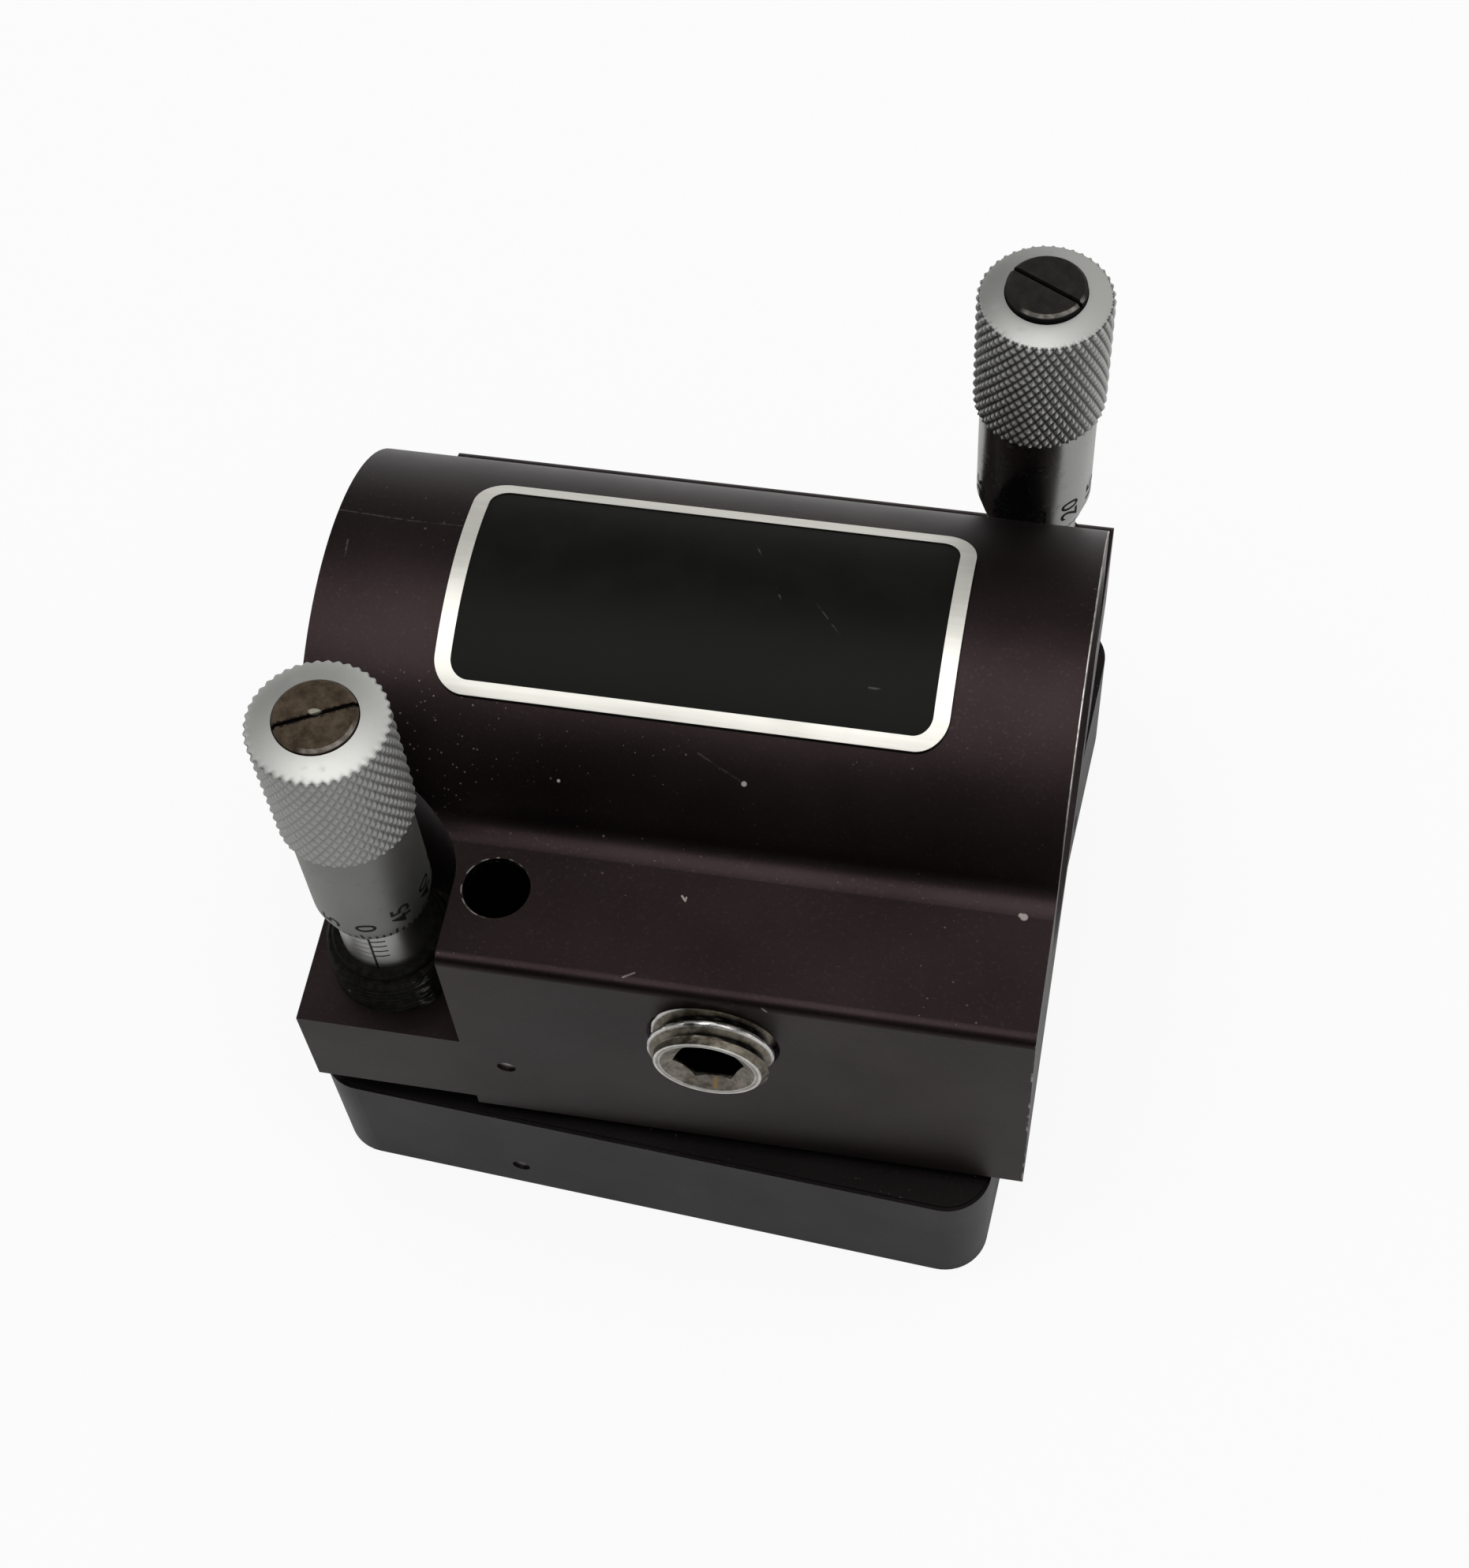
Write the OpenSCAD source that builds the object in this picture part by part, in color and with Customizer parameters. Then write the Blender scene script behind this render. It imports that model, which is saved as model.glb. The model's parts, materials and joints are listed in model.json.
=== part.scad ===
// Kinematic mirror mount for a round rod.
//
// A clamp block with a barrel bored for the rod stands on a square mirror plate.
// Three ball points part the two: a fixed pivot ball under the front right
// corner and the tips of two micrometer heads at the front left and back right.
// Two extension springs, hung on cross pins, pull the plate up against them, so
// each micrometer tips the plate about the line through the other two points.
// Frame: origin at the middle of the mirror plate's underside, +X along the rod,
// +Y to the back, +Z up.  Sizes in millimetres.

/* [Clamp block] */
// Length of the block, along the rod
block_l = 76.2; // [74:0.1:90]
// Depth of the block, front to back
block_d = 74.8; // [74:0.1:86]
// Thickness of the base, which is also the height of both adjuster ledges
base_h = 14.8; // [13:0.1:17]
// Height of the flat front shoulder over the underside
shoulder_h = 33; // [31:0.1:38]
// Outer diameter of the barrel
barrel_d = 47.6; // [46:0.1:52]
// Diameter of the rod that the barrel takes
rod_d = 38.1; // [30:0.1:39]
// Radial play of the rod in the barrel
rod_play = 0.05; // [0.02:0.01:0.1]
// Chamfer at both mouths of the rod bore
bore_chamfer = 0.8; // [0.4:0.1:1.2]
// Radius on the long upper edges
edge_r = 1.2; // [0.6:0.1:2]
// Radius of the hollow fillets beside the barrel
fillet_r = 3.2; // [1.5:0.1:4]
// Depth of the relief under the front adjuster
relief_h = 1.7; // [1:0.1:2.5]

/* [Mirror plate] */
// Width of the plate, along the rod
plate_w = 74.2; // [72:0.1:90]
// Depth of the plate, front to back
plate_d = 76.2; // [74:0.1:90]
// Thickness of the plate
plate_t = 17.5; // [15:0.1:20]
// Radius of the plate's four upright corners
plate_corner_r = 4.8; // [4:0.05:8]
// Radius on the plate's upper and lower edges
plate_edge_r = 0.4; // [0.3:0.1:1.2]
// How far the plate's middle lies left of the block's middle
plate_shift_x = 0.2; // [0:0.1:1]
// How far the plate's middle lies in front of the block's middle
plate_shift_y = 1.2; // [0:0.1:2]
// Angle by which the plate has settled askew under the block
plate_yaw = -3.6; // [-4:0.1:0]
// Open gap between plate and block
plate_gap = 1.5; // [1.2:0.1:2.5]
// Diameter of the mirror that the cell takes
mirror_d = 50.8; // [40:0.1:51]
// Thickness of the mirror
mirror_t = 9.5; // [6:0.1:10]
// Radial play of the mirror in its cell
mirror_play = 0.05; // [0.03:0.01:0.1]
// Width of the ledge that the mirror's back rests on
mirror_ledge = 3; // [2:0.1:5]
// Depth of the relief inside that ledge
mirror_relief = 1; // [0.5:0.1:2]

/* [Adjusters] */
// Distance of each adjuster's axis, and of the pivot, from the block's two sides
adj_inset = 8.75; // [8.5:0.05:9.5]
// Radius of the threaded collar, in the block and over the ledge
collar_r = 6.7; // [6.3:0.05:7.2]
// Height of the threaded collar over the ledge
collar_h = 5.4; // [4:0.1:7]
// Radius of the ring on top of the collar
ring_r = 5.8; // [5.4:0.1:6.4]
// Height of that ring
ring_h = 1; // [0.6:0.1:2]
// Height of the collar's lower end over the block's underside
collar_foot = 2.2; // [2:0.1:3]
// Radius of the graduated sleeve
sleeve_r = 4.75; // [4.6:0.01:4.9]
// Length of the sleeve above the ring
sleeve_l = 24; // [20:0.1:26]
// Length of the thimble, without its domed end
thimble_l = 31.5; // [28:0.1:34]
// Radius of the thimble's smooth skirt
thimble_r = 6.04; // [5.8:0.01:6.3]
// Radius of the thimble's lower rim, below its bevel
thimble_rim_r = 5.45; // [5.2:0.01:5.7]
// Height of that bevel
bevel_h = 2.2; // [1:0.1:3]
// Radius over the knurled grip
grip_r = 6.8; // [6.5:0.05:7.5]
// Length of the knurled grip
grip_l = 14.9; // [12:0.1:18]
// Chamfer at both ends of the grip
grip_chamfer = 0.1; // [0.05:0.05:0.4]
// Thickness of the thimble's crown
crown_t = 6; // [5:0.1:7]
// Rise of the thimble's domed end from the grip's rim to the cap screw
dome_h = 0.8; // [0.3:0.1:1.2]
// Sleeve that shows between the ring and the front thimble
show_a = 7.6; // [6:0.1:10]
// Sleeve that shows between the ring and the back thimble
show_b = 8.6; // [6:0.1:10]
// Radius of the slotted cap screw's head
cap_r = 4; // [3.6:0.1:4.4]
// Height of the cap screw's head
cap_h = 2.2; // [1.8:0.1:2.6]
// Bevel round the head's top
cap_bevel = 0.35; // [0.2:0.05:0.5]
// Gap between the head and the hole in the thimble's crown
cap_gap = 0.1; // [0.05:0.05:0.3]
// How far the front head stands over the thimble's dome
cap_proud_a = 0.5; // [0.4:0.1:1.2]
// How far the back head stands over the thimble's dome
cap_proud_b = 1; // [0.4:0.1:1.2]
// Width of the front cap's screwdriver slot
slot_w_a = 0.35; // [0.3:0.05:1]
// Width of the back cap's screwdriver slot
slot_w_b = 0.5; // [0.3:0.05:1]
// Depth of the screwdriver slot
slot_depth = 0.9; // [0.6:0.1:1.2]
// Direction of the front cap's slot
slot_angle_a = 27; // [-90:1:90]
// Direction of the back cap's slot
slot_angle_b = -27; // [-90:1:90]
// Radius of the spindle's thread
spindle_r = 3.15; // [2.9:0.01:3.3]
// Radius of the spindle's plain lower stretch
spindle_foot_r = 2.38; // [2:0.01:2.6]
// Radius of the ball at the spindle's tip
tip_r = 2.2; // [2:0.1:2.5]
// Radius of the pivot ball
pivot_r = 3.175; // [2.8:0.025:3.5]
// Radius of the hardened pads in the plate, and of the pivot's cup
pad_r = 4.2; // [3.8:0.1:4.8]
// Thickness of those pads
pad_t = 4; // [3.5:0.1:5]
// Height of the pivot's cup in the block
cup_h = 8; // [6:0.1:10]

/* [Springs and screws] */
// Distance of each spring from its adjuster, towards the pivot
spring_step = 13.1; // [12.8:0.1:14]
// Radius of the spring holes
spring_hole_r = 3.375; // [3.2:0.025:3.5]
// Outer radius of the springs
spring_r = 2.4; // [2.2:0.05:2.6]
// Thickness of the spring wire
wire_d = 0.8; // [0.6:0.05:1]
// Height of the front spring's cross pin over the block's underside
pin_z_a = 10.1; // [9:0.1:11]
// Height of the back spring's cross pin over the block's underside
pin_z_b = 4.6; // [4:0.1:5]
// Depth of both plate pins under the plate's top
pin_depth = 12.6; // [12:0.1:13]
// How far left of its head the front spring's foot lies
foot_slip = 0.6; // [0:0.1:0.8]
// Radius of the cross pins
pin_r = 1; // [0.8:0.05:1.2]
// How far a pin's end stays below the face that it is driven through
pin_sink = 0.4; // [0.2:0.1:0.8]
// Place of the rod clamp screw along the block
clamp_x = 44.6; // [40:0.1:50]
// Radius of the clamp screw
clamp_r = 6.35; // [5.5:0.05:6.35]
// How far the clamp screw stands out of the front face
clamp_proud = 3.2; // [2.5:0.1:5]
// Radius of the clamp screw's end face
clamp_face_r = 5.4; // [5:0.05:5.8]
// Width of the flat ring on that face, round the socket's cone
clamp_ring = 0.6; // [0.4:0.05:1]
// Chamfer round the mouth of the clamp screw's hole
clamp_mouth = 0.4; // [0.2:0.05:0.6]
// Thickness of the soft pad at its tip
clamp_pad_t = 2.4; // [1.5:0.1:3]
// How far that pad stays back from the rod
clamp_back = 0.15; // [0.05:0.05:0.5]
// Width across the flats of the clamp screw's hexagon socket
hex_af = 6.35; // [5:0.05:7]
// Angle by which the socket stands turned
hex_angle = -6; // [-30:1:30]
// Depth of the hexagon socket
hex_depth = 6; // [4:0.1:8]
// Radius of the grub screw that holds the mirror
grub_r = 1.5; // [1.2:0.1:1.8]

/* [Nameplate] */
// Length of the nameplate, along the barrel
label_l = 50.8; // [44:0.1:56]
// Straight width of the nameplate across the barrel
label_w = 24.3; // [20:0.1:26]
// Distance from the block's left end to the nameplate
label_x = 13.2; // [10:0.1:18]
// Angle of the nameplate's middle, up from the back
label_angle = 94.3; // [88:0.1:100]
// Thickness of the nameplate
label_t = 0.5; // [0.3:0.05:0.8]
// Width of its raised border at the two ends
label_border = 1.6; // [1.2:0.1:2.6]
// Width of its raised border at the two long sides
label_margin = 1.3; // [1.2:0.1:2.2]
// How far its field lies below the border
label_sink = 0.12; // [0.05:0.01:0.2]
// Radius of its corners
label_corner = 3.2; // [2:0.1:4]

/* [Fits] */
// Radial clearance of parts that turn or slide in each other
running = 0.05; // [0.02:0.01:0.08]
// Gap left between an adjuster's tip and its pad
tip_play = 0.02; // [0.01:0.01:0.04]

/* [Hidden] */
$fn = 64;
eps = 0.01;

barrel_r = barrel_d / 2;
bore_r = rod_d / 2 + rod_play;
barrel_y = block_d / 2;

// The three points of the mount and the two springs, in the block's plan
front_left = [adj_inset, adj_inset];
back_right = [block_l - adj_inset, block_d - adj_inset];
front_right = [block_l - adj_inset, adj_inset];
spring_at_a = front_left + [spring_step, 0];
spring_at_b = back_right - [0, spring_step];
plate_mid = [block_l / 2 - plate_shift_x, block_d / 2 - plate_shift_y];
block_z = plate_t + plate_gap;

// Heights in an adjuster, over the block's underside
ring_top = base_h + collar_h + ring_h;
sleeve_top = ring_top + sleeve_l;
tip_z = tip_r - plate_gap + tip_play;
spindle_foot = tip_z + 0.75 * tip_r;
pivot_z = -plate_gap / 2;
spring_hole_top_b = pin_z_b + 3;
plate_pin_z = plate_t - pin_depth;
wire_r = wire_d / 2;
loop_play = 0.1;
loop_r = pin_r + wire_r + loop_play;
clamp_tip_y = barrel_y - bore_r - clamp_back;
// Socket cone of 120 degrees: radius at the face, and depth
clamp_lead_r = clamp_face_r - clamp_ring;
clamp_lead = (clamp_lead_r - hex_af / 2 + 0.1) / tan(60);
stub_r = spindle_foot_r;
cap_shank_r = 1.4;
mirror_cell_r = mirror_d / 2 + mirror_play;
mirror_cell_h = mirror_t + 0.1;
mirror_grub_z = mirror_t / 2;

colour_block = [0.16, 0.13, 0.14];
colour_steel = [0.72, 0.72, 0.73];
colour_black = [0.1, 0.1, 0.11];
colour_brass = [0.72, 0.58, 0.32];

// ---------------------------------------------------------------- placing

// From the block's own plan and height to the row's frame
module on_block() {
    translate([-plate_mid.x, -plate_mid.y, block_z]) children();
}

// At one point of the block's plan
module at(point, z = 0) {
    on_block() translate([point.x, point.y, z]) children();
}

// The mirror plate's own frame, turned as the plate has settled
module on_plate() {
    rotate([0, 0, plate_yaw]) children();
}

// A point in plan, turned about the origin
function turned(p, a) = [p.x * cos(a) - p.y * sin(a), p.x * sin(a) + p.y * cos(a)];

// The spot in the plate's own frame that lies right under a point of the block
function under(point) = turned(point - plate_mid, -plate_yaw);

foot_a = under(spring_at_a) - [foot_slip, 0];
foot_b = under(spring_at_b);

module tube(r_out, r_in, h) {
    difference() {
        cylinder(r = r_out, h = h);
        translate([0, 0, -1]) cylinder(r = r_in, h = h + 2);
    }
}

// ------------------------------------------------------------ clamp block

// Removes a square outer corner down to a quarter circle; dx, dy point inwards
module corner_waste(x, y, dx, dy, r) {
    difference() {
        translate([x + min(0, dx * r) - (dx > 0 ? 1 : 0), y + min(0, dy * r) - (dy > 0 ? 1 : 0)])
            square(r + 1);
        translate([x + dx * r, y + dy * r]) circle(r = r);
    }
}

// Section across the rod: base, front shoulder, barrel and the hollow fillet behind it
module block_section() {
    wall_y = barrel_y + barrel_r;
    difference() {
        union() {
            square([block_d, base_h]);
            square([barrel_y, shoulder_h]);
            translate([barrel_y, barrel_r]) circle(r = barrel_r);
            translate([barrel_y, 0]) square([barrel_r, barrel_r]);
            translate([wall_y - 1, base_h - 1]) square(fillet_r + 1);
        }
        translate([wall_y + fillet_r, base_h + fillet_r]) circle(r = fillet_r);
        corner_waste(0, shoulder_h, 1, -1, edge_r);
        corner_waste(block_d, base_h, -1, -1, edge_r);
    }
}

// Section of the hollow fillet from the shoulder's top up to the barrel
module front_fillet() {
    z = shoulder_h + fillet_r;
    y = barrel_y - sqrt(pow(barrel_r + fillet_r, 2) - pow(z - barrel_r, 2));
    touch = [barrel_y, barrel_r]
        + ([y, z] - [barrel_y, barrel_r]) * barrel_r / (barrel_r + fillet_r);
    difference() {
        polygon([[y, shoulder_h - 1], [y, shoulder_h], touch, touch + [1, -1],
                 [touch.x + 1, shoulder_h - 1]]);
        translate([y, z]) circle(r = fillet_r);
    }
}

// Plan of the pocket that a cutter as wide as the ledge leaves at a corner
module pocket_plan() {
    translate([-1, -1]) square([adj_inset + 1, 2 * adj_inset + 1]);
    translate([-1, -1]) square([2 * adj_inset + 1, adj_inset + 1]);
    translate(front_left) circle(r = adj_inset);
}

module pocket(z, h) {
    translate([0, 0, z]) linear_extrude(h) pocket_plan();
}

// The same, at the corner across the block
module far_corner() {
    translate([block_l, block_d, 0]) rotate([0, 0, 180]) children();
}

module rod_bore() {
    translate([-1, barrel_y, barrel_r]) rotate([0, 90, 0]) cylinder(r = bore_r, h = block_l + 2);
    for (x = [0, block_l])
        translate([x, barrel_y, barrel_r]) rotate([0, x == 0 ? 90 : -90, 0])
            translate([0, 0, -eps]) cylinder(r1 = bore_r + bore_chamfer, r2 = bore_r - eps,
                                             h = bore_chamfer + eps);
}

module clamp_hole() {
    translate([clamp_x, -1, barrel_r]) rotate([-90, 0, 0])
        cylinder(r = clamp_r, h = barrel_y - bore_r + 3);
    translate([clamp_x, -eps, barrel_r]) rotate([-90, 0, 0])
        cylinder(r1 = clamp_r + clamp_mouth, r2 = clamp_r - eps, h = clamp_mouth + eps);
}

module clamp_block() {
    color(colour_block) on_block() difference() {
        rotate([90, 0, 90]) {
            linear_extrude(block_l) block_section();
            linear_extrude(block_l) front_fillet();
        }
        rod_bore();
        clamp_hole();
        pocket(base_h, barrel_d);
        far_corner() pocket(base_h, barrel_d);
        pocket(-1, relief_h + 1);
        for (p = [front_left, back_right])
            translate([p.x, p.y, -1]) cylinder(r = collar_r, h = base_h + 2);
        translate([front_right.x, front_right.y, -1]) cylinder(r = pad_r, h = cup_h + 1);
        translate([spring_at_a.x, spring_at_a.y, -1]) cylinder(r = spring_hole_r, h = shoulder_h + 2);
        translate([spring_at_b.x, spring_at_b.y, -1])
            cylinder(r = spring_hole_r, h = spring_hole_top_b + 1);
        translate([spring_at_a.x, -1, pin_z_a]) rotate([-90, 0, 0])
            cylinder(r = pin_r, h = 1 + spring_at_a.y + 2 * spring_hole_r - pin_r);
        translate([block_l + 1, spring_at_b.y, pin_z_b]) rotate([0, -90, 0])
            cylinder(r = pin_r, h = 1 + block_l - spring_at_b.x + 2 * spring_hole_r - pin_r);
    }
}

module block_pin_a() {
    color(colour_steel) at([spring_at_a.x, pin_sink], pin_z_a) rotate([-90, 0, 0])
        cylinder(r = pin_r, h = spring_at_a.y + 2 * spring_hole_r - pin_r - pin_sink);
}

module block_pin_b() {
    color(colour_steel) at([block_l - pin_sink, spring_at_b.y], pin_z_b) rotate([0, -90, 0])
        cylinder(r = pin_r, h = block_l - spring_at_b.x + 2 * spring_hole_r - pin_r - pin_sink);
}

// -------------------------------------------------------------- nameplate

module rounded_plan(l, w, r) {
    for (x = [r, l - r], y = [r - w / 2, w / 2 - r]) translate([x, y]) circle(r = r);
    translate([r, -w / 2]) square([l - 2 * r, w]);
    translate([0, r - w / 2]) square([l, w - 2 * r]);
}

// A rounded rectangle, less its border, between two radii about the barrel's axis
module wrapped(end, side, r_in, r_out) {
    intersection() {
        translate([label_x + end, barrel_y, barrel_r]) rotate([label_angle - 90, 0, 0])
            linear_extrude(r_out + 1)
            rounded_plan(label_l - 2 * end, label_w - 2 * side, label_corner - side);
        translate([0, barrel_y, barrel_r]) rotate([0, 90, 0]) tube(r_out, r_in, block_l);
    }
}

module nameplate() {
    color(colour_black) on_block() difference() {
        wrapped(0, 0, barrel_r, barrel_r + label_t);
        wrapped(label_border, label_margin, barrel_r + label_t - label_sink, barrel_r + label_t + 1);
    }
}

// ----------------------------------------------------------- mirror plate

// Slab on the origin with round upright corners and round upper and lower edges
module round_slab(w, d, t, corner, edge) {
    cx = w / 2 - corner;
    cy = d / 2 - corner;
    module plan(r) {
        for (x = [-cx, cx], y = [-cy, cy]) translate([x, y]) circle(r = r);
        square([2 * cx, 2 * (cy + r)], center = true);
        square([2 * (cx + r), 2 * cy], center = true);
    }
    translate([0, 0, edge]) linear_extrude(t - 2 * edge) plan(corner);
    linear_extrude(t) plan(corner - edge);
    for (z = [edge, t - edge]) {
        for (x = [-cx, cx], y = [-cy, cy])
            translate([x, y, z]) rotate_extrude() {
                translate([corner - edge, 0]) circle(r = edge, $fn = 32);
                translate([0, -edge]) square([corner - edge, 2 * edge]);
            }
        for (s = [-1, 1]) {
            translate([-cx, s * (d / 2 - edge), z]) rotate([0, 90, 0])
                cylinder(r = edge, h = 2 * cx, $fn = 32);
            translate([s * (w / 2 - edge), -cy, z]) rotate([-90, 0, 0])
                cylinder(r = edge, h = 2 * cy, $fn = 32);
        }
    }
}

module mirror_plate() {
    pin_end = 2 * spring_hole_r - pin_r;
    color(colour_block) on_plate() difference() {
        round_slab(plate_w, plate_d, plate_t, plate_corner_r, plate_edge_r);
        translate([0, 0, -1]) cylinder(r = mirror_cell_r, h = mirror_cell_h + 1);
        translate([0, 0, -1])
            cylinder(r = mirror_cell_r - mirror_ledge, h = mirror_cell_h + mirror_relief + 1);
        for (p = [under(front_left), under(back_right), under(front_right)])
            translate([p.x, p.y, plate_t - pad_t]) cylinder(r = pad_r, h = pad_t + 1);
        for (p = [foot_a, foot_b])
            translate([p.x, p.y, plate_pin_z - spring_r]) cylinder(r = spring_hole_r, h = plate_t);
        translate([foot_a.x, -plate_d / 2 - 1, plate_pin_z]) rotate([-90, 0, 0])
            cylinder(r = pin_r, h = plate_d / 2 + foot_a.y + 1 + pin_end);
        translate([plate_w / 2 + 1, foot_b.y, plate_pin_z]) rotate([0, -90, 0])
            cylinder(r = pin_r, h = plate_w / 2 - foot_b.x + 1 + pin_end);
        translate([-plate_w / 2 - 1, 0, mirror_grub_z]) rotate([0, 90, 0])
            cylinder(r = grub_r, h = plate_w / 2);
    }
}

module plate_pin_a() {
    color(colour_steel) on_plate() translate([foot_a.x, pin_sink - plate_d / 2, plate_pin_z])
        rotate([-90, 0, 0])
        cylinder(r = pin_r, h = plate_d / 2 + foot_a.y + 2 * spring_hole_r - pin_r - pin_sink);
}

module plate_pin_b() {
    color(colour_steel) on_plate() translate([plate_w / 2 - pin_sink, foot_b.y, plate_pin_z])
        rotate([0, -90, 0])
        cylinder(r = pin_r, h = plate_w / 2 - foot_b.x + 2 * spring_hole_r - pin_r - pin_sink);
}

// Socketed grub screw that holds the mirror from the left
module mirror_grub() {
    color(colour_steel) on_plate() translate([pin_sink - plate_w / 2, 0, mirror_grub_z])
        rotate([0, 90, 0]) difference() {
            cylinder(r = grub_r, h = plate_w / 2 - pin_sink - mirror_cell_r - 0.1);
            translate([0, 0, -eps]) cylinder(r = grub_r / 2, h = grub_r, $fn = 6);
        }
}

module pad(point) {
    color(colour_steel) at(point, -plate_gap - pad_t) cylinder(r = pad_r, h = pad_t);
}

module tip_pad_a() { pad(front_left); }
module tip_pad_b() { pad(back_right); }

// ------------------------------------------------------------------ pivot

module pivot_ball() {
    color(colour_steel) at(front_right, pivot_z) sphere(r = pivot_r);
}

module pivot_hollow() {
    translate([0, 0, pivot_z]) sphere(r = pivot_r + running);
}

// Hollow-ended plug in the block that the pivot ball turns in
module pivot_cup() {
    color(colour_steel) at(front_right) difference() {
        cylinder(r = pad_r, h = cup_h);
        pivot_hollow();
    }
}

// The pad in the plate that the pivot ball rests in
module pivot_pad() {
    color(colour_steel) at(front_right) difference() {
        translate([0, 0, -plate_gap - pad_t]) cylinder(r = pad_r, h = pad_t);
        pivot_hollow();
    }
}

// -------------------------------------------------------------- adjusters

// Threaded collar, screwed through the block, with a narrower ring on top
module collar(point) {
    color(colour_black) at(point, 0) rotate_extrude() polygon([
        [sleeve_r, collar_foot], [collar_r, collar_foot],
        [collar_r, base_h + collar_h - 0.4], [collar_r - 0.4, base_h + collar_h],
        [ring_r, base_h + collar_h], [ring_r, ring_top - 0.2],
        [ring_r - 0.2, ring_top], [sleeve_r, ring_top]]);
}

module sleeve(point) {
    color(colour_steel) at(point, collar_foot)
        tube(sleeve_r, spindle_r + running, sleeve_top - collar_foot);
}

// Thimble: bevelled rim, smooth skirt, knurled grip, domed end and bored crown
module thimble(point, show, proud) {
    foot = ring_top + show;
    top = foot + thimble_l;
    brow = (grip_r - grip_chamfer + cap_r + cap_gap) / 2;
    seat = top + dome_h + proud - cap_h;
    roof = top - crown_t;
    grip = top - grip_l;
    color(colour_steel) at(point, 0) rotate_extrude() polygon([
        [sleeve_r + running, foot], [thimble_rim_r, foot], [thimble_r, foot + bevel_h],
        [thimble_r, grip], [grip_r - grip_chamfer, grip], [grip_r, grip + grip_chamfer],
        [grip_r, top - grip_chamfer], [grip_r - grip_chamfer, top],
        [brow, top + 0.62 * dome_h], [cap_r + cap_gap, top + dome_h],
        [cap_r + cap_gap, seat], [stub_r, seat], [stub_r, roof], [sleeve_r + running, roof]]);
}

// Slotted cap screw that draws the thimble onto the spindle
module cap_screw(point, show, proud, slot_w, angle) {
    top = ring_top + show + thimble_l + dome_h + proud;
    color(colour_black) at(point, top - cap_h) difference() {
        union() {
            cylinder(r = cap_r, h = cap_h - cap_bevel);
            translate([0, 0, cap_h - cap_bevel])
                cylinder(r1 = cap_r, r2 = cap_r - cap_bevel, h = cap_bevel);
            translate([0, 0, -crown_t / 2]) cylinder(r = cap_shank_r, h = crown_t / 2 + eps);
        }
        rotate([0, 0, angle]) translate([-cap_r - 1, -slot_w / 2, cap_h - slot_depth])
            cube([2 * cap_r + 2, slot_w, slot_depth + 1]);
    }
}

// Spindle: plain foot, threaded barrel and the stub that carries the thimble
module spindle(point, show, proud) {
    roof = ring_top + show + thimble_l - crown_t;
    seat = ring_top + show + thimble_l + dome_h + proud - cap_h;
    thread_foot = collar_foot + collar_h;
    color(colour_steel) at(point, 0) difference() {
        union() {
            translate([0, 0, spindle_foot + running])
                cylinder(r = spindle_foot_r, h = roof - spindle_foot);
            translate([0, 0, thread_foot]) cylinder(r = spindle_r, h = roof - thread_foot);
            translate([0, 0, roof - eps]) cylinder(r = stub_r, h = seat - roof + eps);
        }
        translate([0, 0, spindle_foot]) cylinder(r = tip_r / 2 + running, h = 3 + 2 * running);
        translate([0, 0, seat - crown_t / 2]) cylinder(r = cap_shank_r, h = crown_t);
    }
}

// Ball tip: a ball cut flat on top, on a short shank up the spindle
module tip_ball(point) {
    color(colour_steel) at(point, 0) {
        intersection() {
            translate([0, 0, tip_z]) sphere(r = tip_r);
            translate([0, 0, tip_z - 2 * tip_r]) cylinder(r = 2 * tip_r, h = 2 * tip_r + spindle_foot - tip_z);
        }
        translate([0, 0, spindle_foot - tip_r]) cylinder(r = tip_r / 2, h = tip_r + 3);
    }
}

module collar_a() { collar(front_left); }
module collar_b() { collar(back_right); }
module sleeve_a() { sleeve(front_left); }
module sleeve_b() { sleeve(back_right); }
module thimble_a() { thimble(front_left, show_a, cap_proud_a); }
module thimble_b() { thimble(back_right, show_b, cap_proud_b); }
module cap_screw_a() { cap_screw(front_left, show_a, cap_proud_a, slot_w_a, slot_angle_a); }
module cap_screw_b() { cap_screw(back_right, show_b, cap_proud_b, slot_w_b, slot_angle_b); }
module spindle_a() { spindle(front_left, show_a, cap_proud_a); }
module spindle_b() { spindle(back_right, show_b, cap_proud_b); }
module tip_ball_a() { tip_ball(front_left); }
module tip_ball_b() { tip_ball(back_right); }

// ---------------------------------------------------------------- springs

// Spring body along +Z between two pins at 0 and l, with a loop round each pin;
// the pins run along +Y before the turn by spin
module spring(l, spin) {
    first = loop_r + loop_play - wire_r;
    translate([0, 0, first]) difference() {
        cylinder(r = spring_r, h = l - 2 * first);
        translate([0, 0, wire_d]) cylinder(r = spring_r - wire_d, h = l - 2 * first - 2 * wire_d);
    }
    for (z = [loop_play, l - loop_play])
        translate([0, 0, z]) rotate([0, 0, spin]) rotate([90, 0, 0])
            rotate_extrude() translate([loop_r, 0]) circle(r = wire_r, $fn = 16);
}

// Hangs a spring from the plate's pin to the block's pin
module hang_spring(point, plate_foot, pin_z, spin) {
    foot = turned(plate_foot, plate_yaw);
    head = point - plate_mid;
    rise = block_z + pin_z - plate_pin_z;
    way = atan2(head.y - foot.y, head.x - foot.x);
    color(colour_steel) translate([foot.x, foot.y, plate_pin_z])
        rotate([0, atan2(norm(head - foot), rise), way])
        spring(norm([norm(head - foot), rise]), spin - way);
}

module spring_a() { hang_spring(spring_at_a, foot_a, pin_z_a, 0); }
module spring_b() { hang_spring(spring_at_b, foot_b, pin_z_b, 90); }

// ------------------------------------------------------------- rod clamp

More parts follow.
